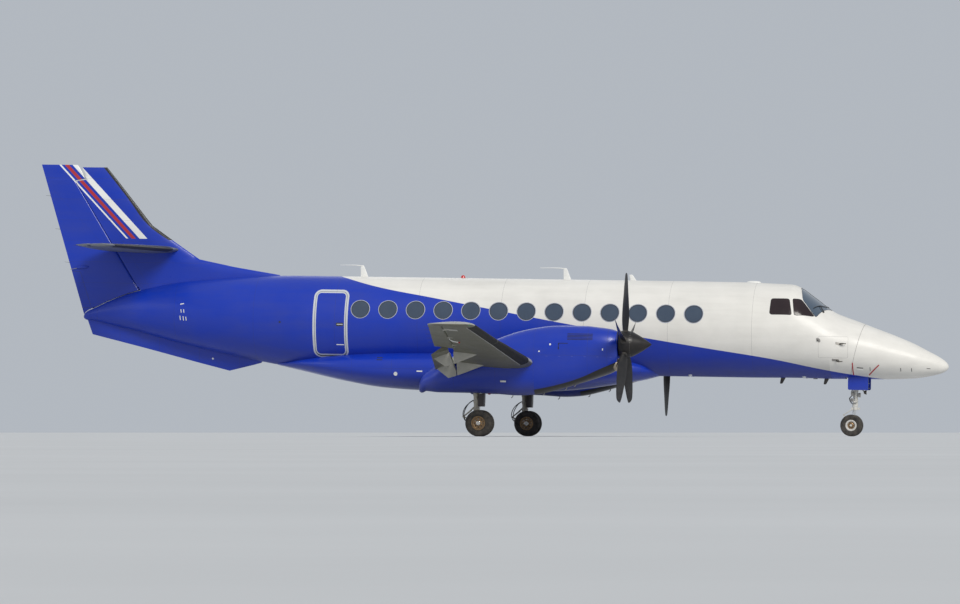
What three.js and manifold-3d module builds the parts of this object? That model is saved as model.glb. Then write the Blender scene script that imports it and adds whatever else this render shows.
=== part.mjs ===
// Twin-turboprop regional airliner, low wing, cross tail, standing on its landing gear.
// Millimetres. The airframe is drawn in its own level frame: x = 0 at the nose tip, aft is -x, +y to port,
// z = 0 on the cabin axis. One outer group then gives it the ground stance (slightly nose-down)
// and puts the origin on the ground under the middle of the box.
import * as THREE from "three";
import { mergeVertices } from "three/addons/utils/BufferGeometryUtils.js";
import Module from "manifold-3d";

const wasm = await Module();
wasm.setup();

// ---------------------------------------------------------------- driving dimensions
const GAP = 0.3; // between pieces that touch
const CLEAR = 8; // round pieces that move
const STANCE_DEG = 1.02; // nose-down on the ground
const GROUND_Z_AT_NOSE_TIP = -2134; // ground plane below the nose tip, square to the ground
const CABIN_R = 990;
const SHELL = 28; // depth of the glazing
const DOOR_T = 60; // doors are as thick as the cabin wall
const SIDES = 24, // corners of a body section
  WHEEL_SIDES = 16;

const WING_Z0 = -1210, // chord plane on the centreline
  WING_DIHEDRAL = 0.1228; // 7 degrees
const NAC_Y = 3085; // nacelle and main leg, from the centreline
const PROP_X = -6300,
  PROP_Z = -370,
  PROP_R = 1450,
  HUB_R = 268,
  BLADES = 5;
const FLAP_DOWN = 25, // flaps as pictured, fully down
  FLAP_PIVOT_DROP = 220; // hinge below the chord plane
const MAIN_X = -9270,
  MAIN_TYRE_R = 270,
  MAIN_TYRE_W = 166,
  MAIN_TWIN = 150, // half the distance between the twin wheels
  MAIN_RIM_R = 145;
const NOSE_X = -1990,
  NOSE_TYRE_R = 225,
  NOSE_TYRE_W = 125,
  NOSE_TWIN = 105,
  NOSE_RIM_R = 118;

const PAD_R = 45; // jacking pads under the nose and the wings
const NOSE_PAD = [-2760, 0, -1000],
  WING_PAD = [-8900, 2300, -1115];
const S = Math.sin(THREE.MathUtils.degToRad(STANCE_DEG)),
  C = Math.cos(THREE.MathUtils.degToRad(STANCE_DEG));
// height, in the airframe's frame, of a point at x that stands h above the ground
const overGround = (x, h) => (GROUND_Z_AT_NOSE_TIP + h + x * S) / C;
const MAIN_Z = overGround(MAIN_X, MAIN_TYRE_R),
  NOSE_Z = overGround(NOSE_X, NOSE_TYRE_R);
const chordZ = (y) => WING_Z0 + WING_DIHEDRAL * Math.abs(y);
const lerp = (a, b, t) => a + (b - a) * t;

// ---------------------------------------------------------------- solids
function solid(geometry) {
  const g = geometry.clone();
  for (const k of Object.keys(g.attributes)) if (k !== "position") g.deleteAttribute(k);
  const m = mergeVertices(g, 1e-3);
  let tri = new Uint32Array(m.index.array);
  const make = () => new wasm.Manifold(new wasm.Mesh({ numProp: 3, vertProperties: new Float32Array(m.attributes.position.array), triVerts: tri }));
  let s = make();
  if (s.volume() < 0) {
    tri = tri.slice();
    for (let i = 0; i < tri.length; i += 3) [tri[i + 1], tri[i + 2]] = [tri[i + 2], tri[i + 1]];
    s = make();
  }
  return s;
}
const union = (...list) => list.reduce((a, b) => a.add(b));
function geometryOf(s) {
  const m = s.getMesh(),
    v = new Float32Array(m.numVert * 3);
  for (let i = 0; i < m.numVert; i++) v.set(m.vertProperties.subarray(i * m.numProp, i * m.numProp + 3), i * 3);
  const g = new THREE.BufferGeometry();
  g.setAttribute("position", new THREE.BufferAttribute(v, 3));
  g.setIndex(new THREE.BufferAttribute(new Uint32Array(m.triVerts), 1));
  g.computeVertexNormals();
  return g;
}
// the largest body of a cut
const biggest = (s) => s.decompose().reduce((a, b) => (a.volume() > b.volume() ? a : b));

// skin over rings of equal length; an end is closed by a fan, or drawn to a point
function loft(rings, startPoint, endPoint) {
  const n = rings[0].length,
    pos = [],
    idx = [];
  rings.forEach((r) => r.forEach((p) => pos.push(...p)));
  const far = (a, b) => (pos[3 * a] - pos[3 * b]) ** 2 + (pos[3 * a + 1] - pos[3 * b + 1]) ** 2 + (pos[3 * a + 2] - pos[3 * b + 2]) ** 2;
  for (let i = 0; i + 1 < rings.length; i++)
    for (let j = 0; j < n; j++) {
      const a = i * n + j,
        b = i * n + ((j + 1) % n),
        c = a + n,
        d = b + n;
      // each quad is split along its shorter diagonal, so both sides of a body match
      far(a, d) < far(b, c) ? idx.push(a, b, d, a, d, c) : idx.push(a, b, c, b, d, c);
    }
  const fan = (ring, base, point, flip) => {
    if (point) {
      pos.push(...point);
      const c = pos.length / 3 - 1;
      for (let j = 0; j < n; j++) flip ? idx.push(c, base + ((j + 1) % n), base + j) : idx.push(c, base + j, base + ((j + 1) % n));
      return;
    }
    // flat end: its outline is cut into triangles in the plane that it faces most
    const normal = [0, 0, 0];
    ring.forEach((p, j) => {
      const q = ring[(j + 1) % n];
      for (let k = 0; k < 3; k++) normal[k] += (p[(k + 1) % 3] - q[(k + 1) % 3]) * (p[(k + 2) % 3] + q[(k + 2) % 3]);
    });
    const k = normal.map(Math.abs).indexOf(Math.max(...normal.map(Math.abs)));
    const flat = ring.map((p) => new THREE.Vector2(p[(k + 1) % 3], p[(k + 2) % 3])),
      turn = (a, b, c) => (b.x - a.x) * (c.y - a.y) - (c.x - a.x) * (b.y - a.y) > 0,
      outline = !THREE.ShapeUtils.isClockWise(flat);
    for (const [a, b, c] of THREE.ShapeUtils.triangulateShape(flat, [])) {
      const same = turn(flat[a], flat[b], flat[c]) === outline;
      same !== flip ? idx.push(base + a, base + b, base + c) : idx.push(base + a, base + c, base + b);
    }
  };
  fan(rings[0], 0, startPoint, true);
  fan(rings[rings.length - 1], (rings.length - 1) * n, endPoint, false);
  const g = new THREE.BufferGeometry();
  g.setAttribute("position", new THREE.Float32BufferAttribute(pos, 3));
  g.setIndex(idx);
  return solid(g);
}
// superellipse section of a body across x; grow moves it outwards
function oval(x, zTop, zBot, half, power = 2, grow = 0, yc = 0, sides = SIDES) {
  const zc = (zTop + zBot) / 2,
    hz = (zTop - zBot) / 2 + grow,
    hy = half + grow,
    e = 2 / power;
  return Array.from({ length: sides }, (_, k) => {
    const a = ((k + 0.5) / sides) * 2 * Math.PI,
      c = Math.cos(a),
      s = Math.sin(a);
    return [x, yc + hy * Math.sign(c) * Math.abs(c) ** e, zc + hz * Math.sign(s) * Math.abs(s) ** e];
  });
}
// aerofoil outline in (chord fraction aft, height fraction): from the trailing edge over the top to the nose and back
function aerofoil(thick, camber = 0, from = 0, to = 1, steps = 6, blunt = 0) {
  const half = (u) => 5 * thick * (0.2969 * Math.sqrt(u) - 0.126 * u - 0.3516 * u * u + 0.2843 * u ** 3 - 0.1036 * u ** 4) + 0.002;
  const mean = (u) => camber * 4 * u * (1 - u);
  const us = Array.from({ length: steps + 1 }, (_, k) => from + (to - from) * (1 - Math.cos((k / steps) * Math.PI * 0.5)));
  const list = [];
  for (let k = steps; k >= 0; k--) list.push([us[k], mean(us[k]) + Math.max(half(us[k]), blunt)]);
  for (let k = from > 0 ? 0 : 1; k <= steps; k++) list.push([us[k], mean(us[k]) - Math.max(half(us[k]), blunt)]);
  return list;
}
// prism of an outline in side view (x, z) between two y
function sidePrism(outline, y0, y1) {
  const ring = (y) => outline.map(([x, z]) => [x, y, z]);
  return loft([ring(y0), ring(y1)]);
}
// prism of an outline in plan (x, y) between two z
function planPrism(outline, z0, z1) {
  const ring = (z) => outline.map(([x, y]) => [x, y, z]);
  return loft([ring(z0), ring(z1)]);
}
function box(x0, x1, y0, y1, z0, z1) {
  return solid(new THREE.BoxGeometry(Math.abs(x1 - x0), Math.abs(y1 - y0), Math.abs(z1 - z0)).translate((x0 + x1) / 2, (y0 + y1) / 2, (z0 + z1) / 2));
}
// round bar between two points, with an optional second radius
function bar(a, b, r, r2 = r, sides = 12) {
  const A = new THREE.Vector3(...a),
    B = new THREE.Vector3(...b),
    d = B.clone().sub(A);
  const g = new THREE.CylinderGeometry(r2, r, d.length(), sides);
  g.applyQuaternion(new THREE.Quaternion().setFromUnitVectors(new THREE.Vector3(0, 1, 0), d.clone().normalize()));
  g.translate(...A.add(B).multiplyScalar(0.5));
  return solid(g);
}
// turned piece: profile of (radius to the flats, distance along the axis), axis along y, centre at c;
// one flat is turned down to lie on the ground
function turnedY(profile, c, sides = 28) {
  const g = new THREE.LatheGeometry(
    profile.map(([r, h]) => new THREE.Vector2(r / Math.cos(Math.PI / sides), h)),
    sides,
  );
  g.rotateY(Math.PI / sides - THREE.MathUtils.degToRad(STANCE_DEG));
  g.translate(...c);
  return solid(g);
}
function roundedOutline(x0, x1, z0, z1, r, n = 3) {
  const list = [];
  [
    [x1 - r, z1 - r, 0],
    [x0 + r, z1 - r, 1],
    [x0 + r, z0 + r, 2],
    [x1 - r, z0 + r, 3],
  ].forEach(([cx, cz, q]) => {
    for (let k = 0; k <= n; k++) {
      const a = (q + k / n) * (Math.PI / 2);
      list.push([cx + r * Math.cos(a), cz + r * Math.sin(a)]);
    }
  });
  return list;
}

// ---------------------------------------------------------------- materials
const PAINT = { white: 0xeeeef0, blue: 0x1d2f9e, grey: 0x8d8c84, black: 0x141416, steel: 0xd8d8d8, bronze: 0x8a6a45, rubber: 0x1a1a1a, glass: 0x20262c, light: 0xd9d9de, engine: 0x6d6d70 };
const finish = (name, roughness = 0.4, metalness = 0) => new THREE.MeshStandardMaterial({ color: PAINT[name], roughness, metalness });
const airframe = new THREE.Group();
function place(name, s, paint, roughness, metalness) {
  const mesh = new THREE.Mesh(geometryOf(s), finish(paint, roughness, metalness));
  mesh.name = name;
  airframe.add(mesh);
  return s;
}
const jackPad = (x, y, z, up) => bar([x, y, z], [x, y, z + up], PAD_R); // flat-faced jacking pad
const mirror = (s) => {
  const m = s.getMesh(),
    v = new Float32Array(m.vertProperties);
  for (let i = 1; i < v.length; i += m.numProp) v[i] = -v[i];
  const t = new Uint32Array(m.triVerts);
  for (let i = 0; i < t.length; i += 3) [t[i + 1], t[i + 2]] = [t[i + 2], t[i + 1]];
  return new wasm.Manifold(new wasm.Mesh({ numProp: 3, vertProperties: v, triVerts: t }));
};
// a port piece and its starboard mirror image
function pair(name, s, paint, roughness, metalness) {
  place(name + "_left", s, paint, roughness, metalness);
  place(name + "_right", mirror(s), paint, roughness, metalness);
}

// ---------------------------------------------------------------- fuselage
const NOSE_TIP = [0, 0, -700],
  TAIL_TIP = [-18300, 0, 67];
// columns: x, top, bottom, half width
const BODY = [
  [-50, -626, -779, 85],
  [-150, -530, -840, 170],
  [-260, -466, -871, 240],
  [-470, -360, -918, 335],
  [-680, -254, -949, 420],
  [-1090, -85, -973, 530],
  [-1510, 67, -981, 625],
  [-1800, 174, -983, 682],
  [-2140, 293, -987, 745],
  [-2340, 369, -989, 785],
  [-2770, 671, -984, 860],
  [-3110, 900, -980, 912],
  [-3250, 950, -980, 928],
  [-3610, 965, -985, 962],
  [-4200, 985, -990, 990],
  [-6000, 990, -990, 990],
  [-10000, 990, -990, 990],
  [-13300, 990, -985, 990],
  [-13700, 990, -940, 965],
  [-14400, 970, -830, 885],
  [-15240, 920, -675, 765],
  [-16200, 820, -467, 590],
  [-17150, 620, -225, 375],
  [-17700, 425, -100, 235],
  [-18120, 225, 0, 112],
];
const body = (grow) =>
  loft(
    BODY.map(([x, t, b, h]) => oval(x, t, b, h, 2, grow)),
    [NOSE_TIP[0] + Math.min(grow, 0), 0, NOSE_TIP[2]],
    TAIL_TIP,
  );
const skin = body(0),
  insideGlass = body(-SHELL),
  insideGlassSeat = body(-SHELL - GAP),
  insideDoor = body(-DOOR_T),
  insideDoorSeat = body(-DOOR_T - CLEAR);

const NOSE_JOINT = [
  [-1760, 30],
  [-1935, -700],
]; // the radome ends on this slanted line
const nosePlane = (d) => {
  const [[xa, za], [xb, zb]] = NOSE_JOINT,
    k = (xb - xa) / (zb - za),
    at = (z) => xa + k * (z - za) + d;
  return sidePrism(
    [
      [at(1500), 1500],
      [at(-1500), -1500],
      [500, -1500],
      [500, 1500],
    ],
    -1500,
    1500,
  );
};

// columns: name, outline in side view (x, z), nearest y
const PANES = [
  ["windscreen", [[-3085, 905], [-2395, 425], [-2690, 272], [-2985, 632]], 25],
  ["cockpit_front_window", [[-3005, 627], [-2725, 285], [-3115, 300], [-3180, 643]], 300],
  ["cockpit_rear_window", [[-3255, 640], [-3185, 310], [-3625, 320], [-3615, 640]], 300],
];
const grown = (outline, d) => {
  const n = outline.length,
    cx = outline.reduce((s, p) => s + p[0], 0) / n,
    cz = outline.reduce((s, p) => s + p[1], 0) / n;
  return outline.map(([x, z]) => {
    const l = Math.hypot(x - cx, z - cz);
    return [x + ((x - cx) / l) * d, z + ((z - cz) / l) * d];
  });
};
let hull = skin.subtract(nosePlane(0));
// nose gear bay, open below, across the joint
const BAY = { x0: -2120, x1: -1600, y: 215, z: -640 };
const bay = box(BAY.x0, BAY.x1, -BAY.y, BAY.y, BAY.z, -1300);
place("nose_cone", skin.intersect(nosePlane(GAP)).subtract(bay), "blue");
for (const [name, outline, y0] of PANES) {
  pair(name, sidePrism(outline, y0, 1500).intersect(skin).subtract(insideGlass), "glass", 0.1);
  const seat = sidePrism(grown(outline, 1), y0 - 1, 1500).subtract(insideGlassSeat);
  hull = hull.subtract(seat).subtract(mirror(seat));
}
// doors: columns: name, side (1 port), x aft, x fore, sill z, head z, gap at sill, gap at head,
// hinge y (from the centreline) and z, radius of the room that the door's inner edge swings through
const DOORS = [
  ["passenger_door", 1, -4720, -3980, -680, 740, 6, 18, 722, -684, 112],
  ["baggage_door", 1, -14110, -12920, -550, 690, 20, 6, 722, 694, 185],
  ["rear_door", -1, -13150, -12500, -670, 650, 20, 6, 750, 654, 125],
];
for (const [name, side, xa, xf, zs, zh, gs, gh, hy, hz, swing] of DOORS) {
  const y = (s) => (side > 0 ? s : mirror(s));
  place(name, y(sidePrism(roundedOutline(xa, xf, zs, zh, 110), 200, 1500)).intersect(skin).subtract(insideDoor), side > 0 && xf > -6000 ? "white" : "blue");
  const hole = y(sidePrism(roundedOutline(xa - CLEAR, xf + CLEAR, zs - gs, zh + gh, 116), 200 - GAP, 1500)).subtract(insideDoorSeat);
  hull = hull.subtract(hole);
  const room = bar([xa - CLEAR, hy, hz], [xf + CLEAR, hy, hz], swing, swing, 24).intersect(box(xa - 20, xf + 20, 0, 1200, zs + 20, zh - 20));
  hull = hull.subtract(y(room));
}
// rooms behind the doors: columns: x aft, x fore, y starboard, y port
const ROOMS = [
  [-14180, -12440, -1200, 1200],
  [-4700, -4000, 250, 1200],
];
const insideRoom = body(4 - DOOR_T - CLEAR);
for (const [xa, xf, ys, yp] of ROOMS) hull = hull.subtract(box(xa, xf, ys, yp, -640, 965).intersect(insideRoom));
hull = hull.subtract(bay);

// ---------------------------------------------------------------- wing
// columns: y, leading edge x, trailing edge x, thickness ratio, camber
const WING = [
  [700, -8010, -10440, 0.175, 0.02],
  [1000, -8020, -10400, 0.175, 0.02],
  [2640, -8095, -10185, 0.165, 0.02],
  [3550, -8140, -10064, 0.158, 0.02],
  [5850, -8270, -9757, 0.14, 0.018],
  [6670, -8330, -9650, 0.134, 0.016],
  [8800, -8400, -9365, 0.12, 0.014],
  [9060, -8450, -9335, 0.1, 0.012],
  [9145, -8560, -9290, 0.06, 0.008],
];
const wingAt = (y) => {
  let i = 0;
  while (i < WING.length - 2 && WING[i + 1][0] < y) i++;
  const t = (y - WING[i][0]) / (WING[i + 1][0] - WING[i][0]);
  return WING[i].map((v, k) => lerp(v, WING[i + 1][k], t));
};
const wingRing = ([y, le, te, t, c], from = 0, to = 1, blunt = 0) => aerofoil(t, c, from, to, 6, blunt).map(([u, h]) => [le + (te - le) * u, y, chordZ(y) + (le - te) * h]);
const wingFull = loft(WING.map((w) => wingRing(w)));
// front edge of the flaps and of the aileron, x at y
const flapGapX = (y) => -9390 - (5770 - y) * 0.1245;
const aileronGapX = (y) => lerp(-9370, -9110, (y - 5850) / 3050);
const pivotOf = (y) => [flapGapX(y) - 8, y, chordZ(y) - FLAP_PIVOT_DROP]; // flap hinge line
const aileronHinge = (y) => [aileronGapX(y) - 40, y, chordZ(y) + 12];
// slab between two planes square to the line a-b, d0 before a and d1 past b
function slab(a, b, d0, d1) {
  const A = new THREE.Vector3(...a),
    d = new THREE.Vector3(...b).sub(A),
    l = d.length();
  const g = new THREE.BoxGeometry(6000, l + d0 + d1, 6000).translate(0, (l - d0 + d1) / 2, 0);
  g.applyQuaternion(new THREE.Quaternion().setFromUnitVectors(new THREE.Vector3(0, 1, 0), d.normalize()));
  g.translate(A.x, A.y, A.z);
  return solid(g);
}
const SURFACES = { flap_inboard: [1190, 2600], flap_outboard: [3560, 5790], aileron: [5860, 8920] };
let wing = wingFull;
for (const [name, [y0, y1]] of Object.entries(SURFACES)) {
  const gx = name === "aileron" ? (y) => aileronGapX(y) + 44 : flapGapX,
    hinge = name === "aileron" ? aileronHinge : pivotOf;
  wing = wing.subtract(
    planPrism(
      [
        [gx(y0 - 200), y0 - 200],
        [gx(y1 + 200), y1 + 200],
        [-11000, y1 + 200],
        [-11000, y0 - 200],
      ],
      -2500,
      500,
    ).intersect(slab(hinge(y0), hinge(y1), CLEAR, CLEAR)),
  );
}

// flap: rear part of the wing section with a round nose, drawn retracted and then turned down about its hinge
function aboutAxis(s, a, b, deg) {
  const A = new THREE.Vector3(...a),
    d = new THREE.Vector3(...b).sub(A).normalize(),
    m = new THREE.Matrix4()
      .makeTranslation(A.x, A.y, A.z)
      .multiply(new THREE.Matrix4().makeRotationAxis(d, THREE.MathUtils.degToRad(deg)))
      .multiply(new THREE.Matrix4().makeTranslation(-A.x, -A.y, -A.z));
  return s.transform(m.elements);
}
function surfaceRing(y, frontX, noseCut = 12) {
  const [, le, te, t, c] = wingAt(y),
    chord = le - te,
    at = (x) => (le - x) / chord,
    half = (x) => {
      const u = at(x);
      return chord * (5 * t * (0.2969 * Math.sqrt(u) - 0.126 * u - 0.3516 * u * u + 0.2843 * u ** 3 - 0.1036 * u ** 4) + 0.002);
    },
    mid = (x) => chordZ(y) + chord * c * 4 * at(x) * (1 - at(x));
  const r = half(frontX) * 0.9,
    list = [];
  const xs = [te, lerp(te, frontX, 0.35), lerp(te, frontX, 0.65)];
  xs.forEach((x) => list.push([x, y, mid(x) + half(x)]));
  const cx = frontX - r - noseCut;
  [90, 60, 30, 0, -30, -60, -90].forEach((d) => {
    const a = (d * Math.PI) / 180;
    list.push([cx + r * Math.cos(a), y, mid(cx) + r * Math.sin(a)]);
  });
  xs.reverse().forEach((x) => list.push([x, y, mid(x) - half(x)]));
  return { ring: list, hinge: [cx, y, mid(cx)] };
}
// flap track fairings: columns: y, forward tip x, keel break depth below chord, lowest point dx and dz from the pivot, aft tip dx and dz from the pivot, half width
const FAIRINGS = [
  { flap: "flap_outboard", y: 5200, tip: -8960, keel: -275, low: [-165, -330 + 220], aft: [-430, -150 + 220], half: 95 },
  { flap: "flap_outboard", y: 3690, tip: -9030, keel: -310, low: [-175, -365 + 220], aft: [-440, -160 + 220], half: 95 },
  { flap: "flap_inboard", y: 1800, tip: -9190, keel: -320, low: [-175, -370 + 220], aft: [-450, -160 + 220], half: 95 },
];
const vRing = (xTop, xKeel, y, zTop, zKeel, half) => [
  [xTop, y + half, zTop],
  [xTop, y - half, zTop],
  [xKeel, y - 8, zKeel],
  [xKeel, y + 8, zKeel],
];
for (const [name, [y0, y1]] of Object.entries(SURFACES)) {
  if (name === "aileron") continue;
  let flap = loft([y0 - 150, y1 + 150].map((y) => surfaceRing(y, flapGapX(y)).ring)).intersect(slab(pivotOf(y0), pivotOf(y1), 0, 0));
  flap = aboutAxis(flap, pivotOf(y0), pivotOf(y1), -FLAP_DOWN);
  for (const f of FAIRINGS.filter((f) => f.flap === name)) {
    const [px, , pz] = pivotOf(f.y),
      zc = chordZ(f.y);
    const front = loft([
      vRing(f.tip, f.tip, f.y, zc - 40, zc - 60, 12),
      vRing(lerp(f.tip, px, 0.5), lerp(f.tip, px, 0.5), f.y, zc - 40, lerp(zc - 60, zc + f.keel, 0.5), f.half * 0.8),
      vRing(px + 8, px + 8, f.y, zc - 20, zc + f.keel, f.half),
    ]);
    wing = wing.add(front);
    // rear half: its front face leans aft above the hinge, as the flap does
    const lean = Math.tan(THREE.MathUtils.degToRad(FLAP_DOWN)),
      topZ = pz + 175;
    const rear = loft([
      [
        [px - 12 - 175 * lean, f.y + f.half, topZ],
        [px - 12 - 175 * lean, f.y - f.half, topZ],
        [px - 12, f.y - 50, pz],
        [px - 12, f.y - 8, zc + f.keel - 8],
        [px - 12, f.y + 8, zc + f.keel - 8],
        [px - 12, f.y + 50, pz],
      ],
      [
        [px + f.low[0] - 60, f.y + f.half, topZ - 45],
        [px + f.low[0] - 60, f.y - f.half, topZ - 45],
        [px + f.low[0], f.y - 55, pz],
        [px + f.low[0], f.y - 8, pz + f.low[1]],
        [px + f.low[0], f.y + 8, pz + f.low[1]],
        [px + f.low[0], f.y + 55, pz],
      ],
      [
        [px + f.aft[0] + 25, f.y + 20, pz + f.aft[1] + 12],
        [px + f.aft[0] + 25, f.y - 20, pz + f.aft[1] + 12],
        [px + f.aft[0], f.y - 12, pz + f.aft[1] + 4],
        [px + f.aft[0], f.y - 6, pz + f.aft[1] - 6],
        [px + f.aft[0], f.y + 6, pz + f.aft[1] - 6],
        [px + f.aft[0], f.y + 12, pz + f.aft[1] + 4],
      ],
    ]);
    flap = flap.add(rear);
  }
  pair(name, flap, "grey");
}
{
  const [y0, y1] = SURFACES.aileron;
  pair("aileron", loft([y0 - 150, (y0 + y1) / 2, y1 + 150].map((y) => surfaceRing(y, aileronGapX(y) + 30).ring)).intersect(slab(aileronHinge(y0), aileronHinge(y1), 0, 0)), "grey");
}

// ---------------------------------------------------------------- belly fairing
// columns: x, top (inside the body), bottom, half width, power
const BELLY = [
  [-6000, -800, -985, 300, 2],
  [-6350, -640, -1080, 700, 2.1],
  [-6900, -560, -1175, 960, 2.3],
  [-7500, -530, -1270, 1080, 2.4],
  [-8100, -520, -1335, 1130, 2.5],
  [-9500, -520, -1375, 1150, 2.6],
  [-10900, -520, -1370, 1130, 2.5],
  [-11800, -530, -1325, 1080, 2.4],
  [-12650, -590, -1195, 960, 2.3],
  [-13500, -690, -1015, 660, 2.1],
  [-14050, -820, -900, 260, 2],
];
const bellyAt = (grow) =>
  loft(
    BELLY.map(([x, t, b, h, p]) => oval(x, t, b, h, p, grow)),
    [-5950, 0, -940],
    [-14150, 0, -870],
  );
const wingSolid = biggest(wing.subtract(bellyAt(GAP)));
place("belly_fairing", biggest(bellyAt(0).subtract(body(GAP))), "blue");

// ---------------------------------------------------------------- nacelles
const COWL_X = -8120; // cowl meets the rear nacelle
// columns: x, top, bottom, half width, power
const NACELLE = [
  [-6450, -110, -900, 300, 2.3],
  [-6560, -75, -960, 345, 2.4],
  [-6800, -40, -1050, 385, 2.5],
  [-7150, -10, -1165, 410, 2.6],
  [-7700, -15, -1330, 425, 2.6],
  [COWL_X, -65, -1425, 430, 2.6],
  [-8500, -150, -1450, 430, 2.6],
  [-9000, -330, -1425, 425, 2.6],
  [-9600, -560, -1415, 400, 2.5],
  [-10100, -800, -1415, 330, 2.3],
  [-10400, -1010, -1390, 200, 2.1],
];
const NAC_TAIL = [-10545, NAC_Y, -1330];
const nacelleAt = (grow, rows = NACELLE) => loft(rows.map(([x, t, b, h, p]) => oval(x, t, b, h, p, grow, NAC_Y)), undefined, rows[rows.length - 1] === NACELLE[NACELLE.length - 1] ? NAC_TAIL : undefined);
const nacelleFull = nacelleAt(0);
const rearCut = box(COWL_X - 100000, COWL_X - GAP, 0, 6000, -4000, 2000),
  frontCut = box(COWL_X, 2000, 0, 6000, -4000, 2000);
const cowlRows = NACELLE.slice(0, 6);
const WALL = 35;
const bayRows = cowlRows.slice(2).concat([[COWL_X - 50, -66, -1426, 430, 2.6]]);
const INTAKE = { z: -790, hy: 215, hz: 95, depth: 380 };
const intake = loft([0, 1].map((k) => oval(-6400 - k * (INTAKE.depth + 50), INTAKE.z + INTAKE.hz - k * 60, INTAKE.z - INTAKE.hz - k * 60, INTAKE.hy, 2.4, 0, NAC_Y, 20)));
const cowl = nacelleFull.intersect(frontCut).subtract(nacelleAt(-WALL, bayRows)).subtract(intake);
pair("engine_cowl", biggest(cowl), "blue");
const ENGINE = { x0: -8080, x1: -6960, y: 250, z0: -790, z1: -190 };
pair("engine", box(ENGINE.x0, ENGINE.x1, NAC_Y - ENGINE.y, NAC_Y + ENGINE.y, ENGINE.z0, ENGINE.z1), "engine", 0.5, 0.6);
// the rear nacelle is cut by the wing, which runs through it; the leg stands in a well open below
const LEG_WELL = box(MAIN_X - 190, MAIN_X + 60, NAC_Y - 95, NAC_Y + 95, -1240, -1700);
const rearNacelle = nacelleFull.intersect(rearCut).subtract(LEG_WELL);
const wingCut = wingSolid.subtract(nacelleAt(GAP));
// the wing stays one piece: its inner and outer parts meet inside the nacelle through the spar box
const SPAR = { x0: -9250, x1: -8700 };
const sparBox = box(SPAR.x0, SPAR.x1, NAC_Y - 520, NAC_Y + 520, chordZ(NAC_Y) - 110, chordZ(NAC_Y) + 110);
const sparSeat = box(SPAR.x0 - GAP, SPAR.x1 + GAP, NAC_Y - 700, NAC_Y + 700, chordZ(NAC_Y) - 110 - GAP, chordZ(NAC_Y) + 110 + GAP);
const wingDone = biggest(wingCut.add(sparBox).add(jackPad(...WING_PAD, 150)));
pair("wing", wingDone, "grey");
pair("nacelle", biggest(rearNacelle.subtract(sparSeat)), "blue");

// ---------------------------------------------------------------- tail
// columns: z, leading edge x, hinge x, trailing edge x, half thickness at the hinge
const hingeX = (z) => lerp(-17133, -18566, (z - 636) / (2951 - 636));
const rudderTE = (z) => lerp(-18285, -19270, (z - 82) / (3270 - 82));
const FIN = [
  [700, -13900, 92],
  [1000, -14100, 90],
  [1150, -15050, 86],
  [1305, -15830, 82],
  [1640, -16330, 76],
  [2007, -16860, 70],
  [2600, -17340, 58],
  [3000, -17668, 48],
  [3215, -17850, 42],
];
const FIN_TOP = 3262;
function finRing(z, le, half, te = hingeX(z) + 60, grow = 0) {
  // leading edge, quarter points, blunt back
  const l = le - te,
    pts = [
      [0.0, 0.06],
      [0.04, 0.42],
      [0.16, 0.74],
      [0.42, 1],
      [1, 0.86],
    ];
  const ring = pts.map(([u, w]) => [le - l * u, half * w + grow, z]);
  return ring.concat(
    pts
      .slice()
      .reverse()
      .map(([u, w]) => [le - l * u, -half * w - grow, z]),
  );
}
const finSolid = (grow) => loft([...FIN.map(([z, le, h]) => finRing(z, le, h, undefined, grow))]);
const HORN = { z: 2985, x: -18310 }; // the rudder's horn balance fills the fin's top rear corner
const hornCut = sidePrism(
  [
    [-18478 + 20, 3400],
    [-18310 + 18, HORN.z - 36],
    [-18640, HORN.z - 84],
    [-19600, HORN.z - 84],
    [-19600, 3400],
  ],
  -300,
  300,
);
place("fin", biggest(finSolid(0).subtract(body(GAP)).subtract(hornCut)), "blue");
// rudder: round nose on the hinge line, horn above
function rudderRing(z, nose, te, half) {
  const r = half * 0.95,
    list = [];
  list.push([te, 4, z]);
  list.push([lerp(te, nose, 0.5), half * 0.62, z]);
  [90, 60, 30, 0, -30, -60, -90].forEach((d) => {
    const a = (d * Math.PI) / 180;
    list.push([nose + r * Math.cos(a), r * Math.sin(a), z]);
  });
  list.push([lerp(te, nose, 0.5), -half * 0.62, z]);
  list.push([te, -4, z]);
  return list;
}
const halfAt = (z) => {
  let i = 0;
  while (i < FIN.length - 2 && FIN[i + 1][0] < z) i++;
  return lerp(FIN[i][2], FIN[i + 1][2], (z - FIN[i][0]) / (FIN[i + 1][0] - FIN[i][0])) * 0.86;
};
const rudderMain = loft([90, 700, 1500, 2300, HORN.z - 50].map((z) => rudderRing(z, hingeX(z) - 22, rudderTE(z), Math.min(halfAt(Math.max(z, 700)), 70))));
const rudderHorn = loft([
  rudderRing(HORN.z - 52, -18566 - 10, rudderTE(HORN.z - 52), 44),
  rudderRing(HORN.z - 10, -18345, rudderTE(HORN.z - 10), 34),
  rudderRing(FIN_TOP - 15, -18500, rudderTE(FIN_TOP - 15), 28),
  rudderRing(FIN_TOP, -18520, rudderTE(FIN_TOP), 18),
]);
const rudderBase = sidePrism(
  [
    [-16000, 1200],
    [-17133 + 100, 636 - 20],
    [-18116 - 10, 235 + 12],
    [-18285 - 10, 82 + 12],
    [-19000, -400],
    [-16000, -400],
  ],
  -500,
  500,
);
const finBack = finSolid(CLEAR);
place("rudder", biggest(rudderMain.add(rudderHorn).subtract(rudderBase).subtract(body(14)).subtract(finBack.subtract(hornCut))), "blue");

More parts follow.
